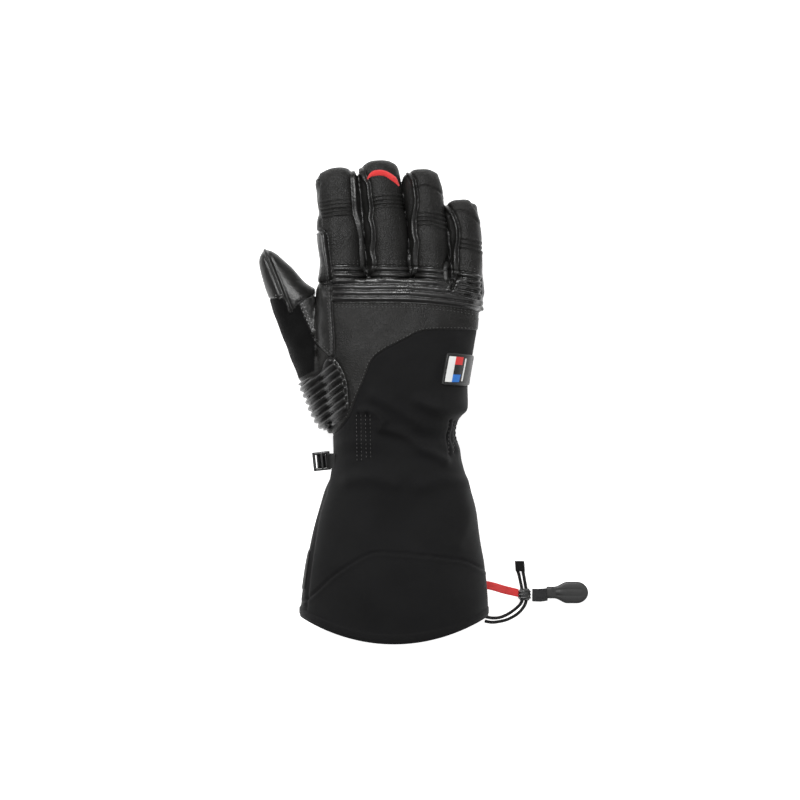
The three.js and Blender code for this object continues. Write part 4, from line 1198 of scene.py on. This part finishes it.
def quad_panel(surface, corners, count, height):
    """A grid over a four-cornered outline, lifted off the skin by height(u, v) for u and v in -1..1."""
    a, b, c, d = (np.array(corner, float) for corner in corners)
    verts = []
    for v in np.linspace(-1, 1, count):
        for u in np.linspace(-1, 1, count):
            # The corners are pulled in a little, which rounds them.
            x = u * math.sqrt(1 - 0.09 * v**8)
            y = v * math.sqrt(1 - 0.09 * u**8)
            top = a + (b - a) * (x + 1) / 2
            bottom = d + (c - d) * (x + 1) / 2
            at = bottom + (top - bottom) * (y + 1) / 2
            verts.append(surface.lifted(*at, height(u, v)))
    return verts, grid_faces(count, count)


def band_on(surface, line, wide, height, columns=9, taper=4.0):
    """A strip along a line on the skin, with a rounded top. It narrows over its last taper millimetres."""
    line = resample(spline(line, 0.5), max(8, int(length_of(spline(line)) / 0.6)))
    along = np.gradient(line, axis=0)
    side = np.stack([-along[:, 1], along[:, 0]], axis=1)
    side /= np.linalg.norm(side, axis=1)[:, None]
    total = length_of(line)
    verts = []
    for i, point in enumerate(line):
        s = total * i / (len(line) - 1)
        narrow = min(1, 0.25 + min(s, total - s) / taper)
        for w in np.linspace(-1, 1, columns):
            at = point + side[i] * w * wide / 2 * narrow
            verts.append(surface.lifted(*at, height * (1 - w**4) * narrow - 0.15))
    return verts, grid_faces(len(line), columns)


STITCH_PITCH = 2.3
STITCH_LONG = 1.6
STITCH_WIDE = 0.55


def stitch_row(surface, line, smooth=True):
    """Stitches along a line on the skin, each one a small spindle."""
    line = spline(line, 0.5) if smooth else np.asarray(line, float)
    line = resample(line, max(3, int(length_of(line) / STITCH_PITCH)))
    parts = []
    for before, after in zip(line[:-1], line[1:]):
        gap = (1 - STITCH_LONG / STITCH_PITCH) / 2
        start, n0 = surface.at(*(before + gap * (after - before)))
        end, n1 = surface.at(*(after - gap * (after - before)))
        up = (n0 + n1) / 2
        along = end - start
        size = np.linalg.norm(along)
        if size < 0.2 or size > 3 * STITCH_LONG:
            continue
        side = np.cross(along, up)
        side *= STITCH_WIDE / 2 / max(np.linalg.norm(side), 1e-6)
        middle = (start + end) / 2
        lift = up * STITCH_WIDE * 0.7
        verts = [start - up * 0.1, middle + side, middle + lift, middle - side, middle - lift, end - up * 0.1]
        faces = [(0, 1, 2), (0, 2, 3), (0, 3, 4), (0, 4, 1), (5, 2, 1), (5, 3, 2), (5, 4, 3), (5, 1, 4)]
        parts.append((verts, faces))
    return joined(parts)


def beside(line, distance):
    """A line at a distance to the left of another in the XY plane."""
    line = resample(spline(line), max(6, int(length_of(spline(line)) / 2)))
    along = np.gradient(line, axis=0)
    side = np.stack([-along[:, 1], along[:, 0]], axis=1)
    return line + distance * side / np.linalg.norm(side, axis=1)[:, None]


def knuckle_line(rows, start, end):
    """A line from x = start to x = end that runs along the knuckle ribs, rows above their lowest edge."""
    x = np.linspace(start, end, 30)
    return np.stack([x, knuckle_low_y(x) + rows * KNUCKLE_RIB_PITCH], axis=1)


def make_stitches(surface):
    """The rows of stitches: one piece for the hand and cuff, one for each finger, and one each for the
    thumb's patch and its cap.
    """
    hand = [stitch_row(surface, knuckle_line(row_at, -44, 54)) for row_at in (-0.35, -0.8)]
    hand.append(stitch_row(surface, beside(LEATHER_EDGE[1:-2], -1.3)))
    for offset in (1.1, 2.6):
        hand.append(stitch_row(surface, beside(STRIP_OUTLINE[3:11], -offset)))
    hand.append(stitch_row(surface, [(-56.5, STRIP_CROSS_Y - 1.4), (-47.5, STRIP_CROSS_Y - 1.4)]))
    for dart in DARTS:
        for offset in (-1.5, 1.5):
            hand.append(stitch_row(surface, beside(dart, offset)))
    obj = make_piece("hand_stitching", *joined(hand), "stitching")
    wrist_blend(obj)
    for key in FINGERS:
        left, right = (spline(seam) for seam in FINGER_SEAMS[key])
        rows_at = KNUCKLE_RIB_COUNT + 0.35
        y = knuckle_line(rows_at, 0, 1)[0, 1]
        x0 = left[np.argmin(np.abs(left[:, 1] - y)), 0] + 1.2
        x1 = right[np.argmin(np.abs(right[:, 1] - y)), 0] - 1.2
        lines = [stitch_row(surface, knuckle_line(at, x0, x1)) for at in (rows_at, rows_at + 0.45)]
        obj = make_piece(key + "_stitching", *joined(lines), "stitching")
        finger_blend(obj, key, True)
    patch = [stitch_row(surface, beside([(-67.6, 91.4), (-58.3, 71)], offset)) for offset in (0.3, 2.3)]
    obj = make_piece("thumb_patch_stitching", *joined(patch), "pale_stitching")
    thumb_blend(obj, True)
    cap = [stitch_row(surface, [(-88.2, 94.3 + up), (-77.5, 94.8 + up)]) for up in (0.6, 2.2)]
    obj = make_piece("thumb_cap_stitching", *joined(cap), "pale_stitching")
    thumb_blend(obj, False)


PATCH_CORNERS = [(30.7, 58.3), (49.5, 56.7), (45.5, 36), (26.7, 36.3)]
PATCH_THICK = 1.3
# Plain blocks of colour on the patch: left, right, bottom and top, from -1 to 1, and the material.
PATCH_BLOCKS = [
    (-0.78, -0.3, -0.78, 0.78, "patch_white"),
    (-0.3, 0.2, 0.3, 0.78, "patch_red"),
    (-0.3, 0.2, -0.78, -0.3, "patch_blue"),
    (0.34, 0.42, -0.7, 0.7, "patch_white"),
]
TAG_CORNERS = [(-63.6, -73), (-59.2, -72.4), (-62.8, -99.5), (-67.6, -99.5)]
TAG_THICK = 0.75


def make_patch(surface):
    """The rubber patch: a plate with a rim, and its blocks of colour."""
    def height(u, v):
        edge = (1 - max(abs(u), abs(v))) * 9.5
        rim = 0.35 * math.exp(-(((edge - 0.9) / 0.5) ** 2))
        return PATCH_THICK * min(edge / 0.5, 1) ** 0.5 + rim - 0.3

    count = 64
    obj = make_piece("rubber_patch_plate", *quad_panel(surface, PATCH_CORNERS, count, height), "patch_rubber")
    mesh = obj.data
    for *_, material in PATCH_BLOCKS:
        mesh.materials.append(MATERIALS[material])
    for face in mesh.polygons:
        v, u = divmod(face.index, count - 1)
        u, v = 2 * (u + 0.5) / (count - 1) - 1, 2 * (v + 0.5) / (count - 1) - 1
        for slot, (low_u, high_u, low_v, high_v, _) in enumerate(PATCH_BLOCKS, 1):
            if low_u < u < high_u and low_v < v < high_v:
                face.material_index = slot
    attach(obj, "hand")
    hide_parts("rubber_patch")


def make_tag(surface):
    """The blank label in the side seam."""
    def height(u, v):
        edge = (1 - max(abs(u), abs(v))) * 2.4
        return TAG_THICK * min(edge / 0.35, 1) ** 0.5 - 0.1

    obj = make_piece("side_label", *quad_panel(surface, TAG_CORNERS, 40, height), "black_webbing")
    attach(obj, "cuff")
    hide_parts("side_tag")


def make_piping(surface):
    """The red piping on the middle fingertip."""
    band = band_on(surface, PIPING, PIPING_WIDE, PIPING_HIGH, taper=8)
    obj = make_piece("middle_piping_band", *band, "red_webbing")
    finger_blend(obj, "middle", False)
    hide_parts("middle_piping")


# ---------- cuff: hem and lining ----------
def hem_bowed(points):
    """Rings of the arm bent so that its lower end follows the hem. The bow fades out up the cuff."""
    x, y = points[:, 0], points[:, 1]
    out = points.copy()
    out[:, 1] = y + HEM_BOW * ((x - HEM_MIDDLE_X) / HEM_HALF_WIDTH) ** 2 * (1 - ramp(y, HEM_Y, -50))
    return out


HEM_SIDES = 160
HEM_ROLL = 2.7  # half the thickness of the rolled edge
LINING_SIDES = 96
LINING_END_Y = 92


def hem_ring(inset, height):
    """The arm's outline at the hem, inset from its outside and height above its edge."""
    station = np.argmin(np.abs(arm_sections()[0] - HEM_Y))
    _, left, right, floor, top = (values[station] for values in arm_sections(-inset))
    middle = ((left + right) / 2, HEM_Y + height, (floor + top) / 2)
    return hem_bowed(ring(middle, ((right - left) / 2, 0, 0), (0, 0, (top - floor) / 2), HEM_SIDES))


def make_hem():
    """A rolled edge that starts over the shell, turns round the drawcord's channel and ends in the lining."""
    profile = [(0.5, 7), (0.05, 6), (-0.12, 5), (-0.15, 3)]
    for angle in range(0, 181, 15):
        a = math.radians(angle)
        profile.append((HEM_ROLL - (HEM_ROLL + 0.15) * math.cos(a), 2 - 2 * math.sin(a)))
    profile += [(2 * HEM_ROLL + 0.3, 5), (2 * HEM_ROLL + 0.4, 9)]
    rings = [hem_ring(inset, height) for inset, height in profile]
    obj = make_piece("hem_edge", *tube(rings, close_ends=False), "softshell")
    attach(obj, "cuff")
    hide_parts("hem_binding")


def make_lining():
    """The brushed lining: the arm's shape inside the shell, uneven, and closed at the fingers."""
    rings = arm_rings(-SHELL_THICK, LINING_SIDES, 2.5)
    rings = [hem_bowed(points) for points in rings if HEM_Y + 1 < points[0][1] < LINING_END_Y]
    verts, faces = tube(rings, close_ends=False)
    faces.append(tuple(len(verts) - LINING_SIDES + k for k in range(LINING_SIDES)))
    waves = np.array([noise.noise((x / 9, y / 9, z / 9)) for x, y, z in verts.tolist()])
    middle = np.array([(verts[:, 0].min() + verts[:, 0].max()) / 2, 0, 34])
    inward = (middle - verts) * [1, 0, 1]
    inward /= np.linalg.norm(inward, axis=1)[:, None]
    verts = verts + inward * (0.7 + 0.6 * waves)[:, None]
    obj = make_piece("brushed_lining", verts, [f[::-1] for f in faces], "fleece_lining")
    wrist_blend(obj)
    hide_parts("cuff_liner")
    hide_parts("hand_liner")


# ---------- webbing, buckle, lock and tab ----------
def ribbon(path, wide, thick, width_axis=(0, 1, 0), bulge=0.0):
    """A webbing strap along a path, with rounded edges."""
    line = spline(path, 0.8)
    along = np.gradient(line, axis=0)
    side = np.asarray(width_axis, float)
    rings = []
    for i, (point, tangent) in enumerate(zip(line, along)):
        normal = np.cross(tangent, side)
        normal /= np.linalg.norm(normal)
        swell = 1 + bulge * math.sin(math.pi * i / (len(line) - 1))
        rings.append(ring(point, side * wide / 2 * swell, normal * thick / 2, 24, 5))
    return tube(rings)


def make_strap():
    """The wrist strap round the palm side, and the loop that carries the buckle."""
    strap = ribbon([(x, STRAP_Y, z) for x, z in STRAP_PATH], STRAP_WIDE, STRAP_THICK)
    obj = make_piece("wrist_strap_webbing", *strap, "black_webbing")
    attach(obj, "cuff")
    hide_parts("wrist_strap")
    loop = ribbon([(x, STRAP_Y, z) for x, z in LOOP_PATH], LOOP_WIDE, LOOP_THICK)
    obj = make_piece("buckle_webbing", *loop, "black_webbing")
    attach(obj, "cuff")
    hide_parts("buckle_loop")


def block(size, at, turn=0.0, round_by=0.5):
    """A box with rounded edges, turned about Z by turn degrees."""
    sx, sy, sz = (v / 2 for v in size)
    bm = bmesh.new()
    bmesh.ops.create_cube(bm, size=2)
    for vert in bm.verts:
        vert.co = Vector((vert.co.x * sx, vert.co.y * sy, vert.co.z * sz))
    bmesh.ops.bevel(bm, geom=list(bm.edges), offset=round_by, segments=3, profile=0.5, affect="EDGES")
    a = math.radians(turn)
    verts = np.array([v.co for v in bm.verts])
    verts = np.stack([verts[:, 0] * math.cos(a) - verts[:, 1] * math.sin(a),
                      verts[:, 0] * math.sin(a) + verts[:, 1] * math.cos(a), verts[:, 2]], axis=1)
    faces = [tuple(v.index for v in f.verts) for f in bm.faces]
    bm.free()
    return verts + np.asarray(at, float), faces


def make_buckle():
    """A ladder lock: a frame of four rails, a raised middle bar and a tilted grip bar."""
    a = math.radians(BUCKLE_TURN)

    def part(size, x, y, z, round_by):
        turned = (x * math.cos(a) - y * math.sin(a), x * math.sin(a) + y * math.cos(a), z)
        return block(size, [p + q for p, q in zip(BUCKLE_AT, turned)], BUCKLE_TURN, round_by)

    long, wide, thick = BUCKLE_SIZE
    rail = BUCKLE_RAIL
    parts = [part((long, rail, thick), 0, side * (wide - rail) / 2, 0, 0.7) for side in (-1, 1)]
    parts += [part((rail, wide, thick), side * (long - rail) / 2, 0, 0, 0.7) for side in (-1, 1)]
    parts.append(part((1.7, wide - rail, 2.2), 0.2, 0, 0.5, 0.5))
    parts.append(part((1.2, wide - 2 * rail, 1.6), -2.6, 0, 0.7, 0.4))
    parts.append(part((1.2, wide - 2 * rail, 1.6), 2.9, 0, 0.3, 0.4))
    obj = make_piece("ladder_lock", *joined(parts), "glossy_plastic")
    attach(obj, "buckle")
    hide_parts("ladder_buckle")


def make_lock():
    """The cord lock: a barrel with a button, ribbed sides and a rim at each cord hole."""
    x, y, z = LOCK_AT
    sx, sy, sz = LOCK_SIZE
    parts = [block((sx - 0.8, sy - 0.6, sz - 0.6), (x, y, z), 0, 1.6)]
    for offset in (-2.2, 0, 2.2):
        parts.append(block((sx, 1.0, sz), (x, y + offset, z), 0, 0.45))
    for side in (-1, 1):
        parts.append(block((6.4, 0.8, 4.4), (x, y + side * (sy / 2 - 0.4), z), 0, 0.3))
    obj = make_piece("cord_lock_barrel", *joined(parts), "glossy_plastic")
    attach(obj, "drawcord_set")
    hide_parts("cord_lock")
    return obj


def make_webbing():
    """The red webbing from the cuff to the lock, and the folded webbing from the lock to the tab."""
    x = LOCK_AT[0]
    red = [(55.5, -96.6, 21.4), (62, -98, 17.8), (70, -100.6, 11), (x - 4.2, -103, 5.2)]
    obj = make_piece("red_webbing_strap", *ribbon(red, 5.4, 1.3, bulge=0.06), "red_webbing")
    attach(obj, "drawcord_set")
    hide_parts("red_webbing")
    fold = [(x + 5.2, -104.4, 4.2), (x + 7.4, -104.5, 4.4), (x + 11, -104.6, 4.0),
            (TAB_NECK_X + 0.6, -104, 3.2)]
    under = [(x + 5.9, -104.4, 2.4), (x + 9, -104.5, 1.6), (TAB_NECK_X - 0.2, -104.2, 1.5)]
    parts = [ribbon(fold, 8.6, 1.2), ribbon(under, 8.4, 1.1)]
    obj = make_piece("folded_webbing", *joined(parts), "grey_webbing")
    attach(obj, "pull_tab")
    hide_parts("tab_webbing")


def tab_half(t):
    """Half the leaf's width, from its neck at t = 0 to its end at t = 1."""
    swell = 4.0 + 3.3 * ramp(np.asarray(t), 0.18, 0.5)
    round_end = np.sqrt(np.clip(1 - ((np.asarray(t) - 0.72) / 0.28) ** 2, 0, 1))
    return swell * np.where(np.asarray(t) > 0.72, round_end, 1)


def make_tab():
    """The leaf-shaped pull: a lens-like section, a sunk middle line and a raised neck."""
    rings = []
    long = TAB_END_X - TAB_NECK_X
    middle_z = TAB_Z + TAB_THICK / 2
    for t in np.concatenate([np.linspace(0, 0.9, 46), np.linspace(0.91, 0.9995, 16)]):
        half = float(tab_half(t))
        middle = (TAB_NECK_X + t * long, TAB_Y, middle_z)
        points = ring(middle, (0, half, 0), (0, 0, TAB_THICK / 2), 56, 3.2)
        off = points[:, 1] - TAB_Y
        top = points[:, 2] > middle_z
        inside = 0.22 < t < 0.86
        slot = 0.55 * np.exp(-((off / 0.9) ** 2)) - 0.25 * np.exp(-(((np.abs(off) - 1.9) / 0.6) ** 2))
        points[:, 2] += np.where(top & inside, slot, 0)
        points[:, 2] += np.where(top, 0.5 * math.exp(-(((t - 0.1) / 0.07) ** 2)), 0)
        rings.append(points)
    obj = make_piece("pull_tab_leaf", *tube(rings), "rubber_tab")
    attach(obj, "pull_tab")
    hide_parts("pull_tab")


def make_palm_patch():
    """The flat reinforcement under the palm, with a rounded edge and a row of stitches."""
    loop = resample(rounded(PALM_PATCH), 180)[:-1]
    middle = loop.mean(axis=0)
    rings = []
    for inset, z in ((0.0, 3.4), (0.0, 1.0), (0.25, 0.3), (0.8, 0.0), (2.0, 0.0), (2.4, 0.25), (2.8, 0.0)):
        shrink = 1 - inset / 32
        flat = middle + (loop - middle) * shrink
        rings.append(np.column_stack([flat, np.full(len(flat), z)]))
    verts, faces = tube(rings, close_ends=False)
    faces.append(tuple(len(verts) - len(loop) + k for k in range(len(loop))))
    obj = make_piece("palm_reinforcement", verts, faces, "suede", smooth=False)
    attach(obj, "hand")
    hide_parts("palm_patch")


def finish_cad_nodes():
    """CAD nodes that stay, all of them out of sight, get their slot's procedural material."""
    slots = {part["node"]: part["material_slot"] for part in frame["record"]["subparts"]}
    for name, obj in frame["nodes"].items():
        obj.data.materials.clear()
        obj.data.materials.append(MATERIALS[slots[name]])


# ---------- camera, light and floor ----------
VIEW_WIDE = 533.3
VIEW_MIDDLE_Y = 26.7
CAMERA_HEIGHT = 3000
GLOVE_PLANE = 30


def make_camera():
    """A long lens straight above the glove."""
    data = bpy.data.cameras.new("camera")
    data.sensor_width = 36
    data.lens = 36 * (CAMERA_HEIGHT - GLOVE_PLANE) / VIEW_WIDE
    camera = bpy.data.objects.new("camera", data)
    camera.location = row((0, VIEW_MIDDLE_Y, CAMERA_HEIGHT))
    bpy.context.collection.objects.link(camera)
    bpy.context.scene.camera = camera


def area_light(name, at, size, power):
    """A soft light aimed at the origin."""
    data = bpy.data.lights.new(name, "AREA")
    data.shape = "RECTANGLE"
    data.size, data.size_y = size
    data.energy = power
    light = bpy.data.objects.new(name, data)
    light.location = at
    light.rotation_euler = (-Vector(at)).to_track_quat("-Z", "Y").to_euler()
    bpy.context.collection.objects.link(light)


# How bright the studio's walls are against the sine of the height: position in the ramp, and value.
STUDIO_BRIGHTNESS = [(0.0, 0.3), (1.0, 0.9), (0.5, 0.14), (0.86, 0.14)]


KEY_POWER = 34
FILL_POWER = 5
FLOOR_HALF = 6.0  # metres


def make_stage():
    """A pale floor that glows a little, a studio round it and two soft lights."""
    mesh = bpy.data.meshes.new("floor")
    corners = [(FLOOR_HALF * x, FLOOR_HALF * y, 0) for x, y in ((-1, -1), (1, -1), (1, 1), (-1, 1))]
    mesh.from_pydata(corners, [], [(0, 1, 2, 3)])
    material, tree, shader = new_material("floor_paper", (0.9, 0.9, 0.9), 0.9, Specular_IOR_Level=0.1,
                                          Emission_Color=(1, 1, 1, 1), Emission_Strength=0.85)
    fibres = texture(tree, "ShaderNodeTexNoise", 300, Detail=4)
    add_bump(tree, shader, fibres.outputs["Fac"], 0.03, 0.0002)
    mesh.materials.append(material)
    floor = bpy.data.objects.new("floor", mesh)
    floor.location.z = -0.0005
    bpy.context.collection.objects.link(floor)
    world = bpy.data.worlds.new("studio")
    bpy.context.scene.world = world
    world.use_nodes = True
    # The studio is dim half way up, and brighter overhead and at its sides.
    tree = world.node_tree
    background = tree.nodes["Background"]
    direction = tree.nodes.new("ShaderNodeTexCoord")
    height = tree.nodes.new("ShaderNodeSeparateXYZ")
    shade = tree.nodes.new("ShaderNodeValToRGB")
    elements = [*shade.color_ramp.elements, *(shade.color_ramp.elements.new(0.5) for _ in range(2))]
    for element, (position, value) in zip(elements, STUDIO_BRIGHTNESS):
        element.position = position
        element.color = (value, value, value, 1)
    tree.links.new(direction.outputs["Generated"], height.inputs["Vector"])
    tree.links.new(height.outputs["Z"], shade.inputs["Fac"])
    tree.links.new(shade.outputs["Color"], background.inputs["Color"])
    background.inputs["Strength"].default_value = 1.0
    area_light("key", (-0.35, 1.0, 1.5), (1.1, 0.45), KEY_POWER)
    area_light("fill", (1.2, -0.7, 1.5), (1.0, 0.8), FILL_POWER)
    bpy.context.scene.view_settings.view_transform = "Standard"


def make_drawcord(lock):
    """The drawcord, from the hem through the lock, round its loop and back."""
    route = resample(spline(DRAWCORD_ROUTE, 1), 120)
    curve = bpy.data.curves.new("drawcord_loop", "CURVE")
    curve.dimensions = "3D"
    curve.bevel_depth = DRAWCORD_DIAMETER / 2 * MM
    curve.bevel_resolution = 4
    line = curve.splines.new("POLY")
    line.points.add(len(route) - 1)
    for point, at in zip(line.points, route):
        point.co = (*row(at), 1)
    curve.materials.append(MATERIALS["elastic_cord"])
    obj = bpy.data.objects.new("drawcord_loop", curve)
    bpy.context.collection.objects.link(obj)
    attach(obj, "drawcord_set")
    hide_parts("drawcord")


def make_cord_sleeve():
    """The shrunk sleeve over the end of the cord's loop."""
    middle = [(80.9, -88.6, 1.8), (80.6, -84, 1.6), (80.4, -81.6, 1.5)]
    obj = make_piece("drawcord_sleeve", *ribbon(middle, 6.4, 2.9, (1, 0, 0)), "black_webbing")
    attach(obj, "drawcord_set")


make_camera()
make_drawcord(make_lock())
skin = Surface(make_skin())
make_stitches(skin)
make_patch(skin)
make_tag(skin)
make_piping(skin)
make_hem()
make_lining()
make_strap()
make_buckle()
make_cord_sleeve()
make_webbing()
make_tab()
make_palm_patch()
finish_cad_nodes()
make_stage()
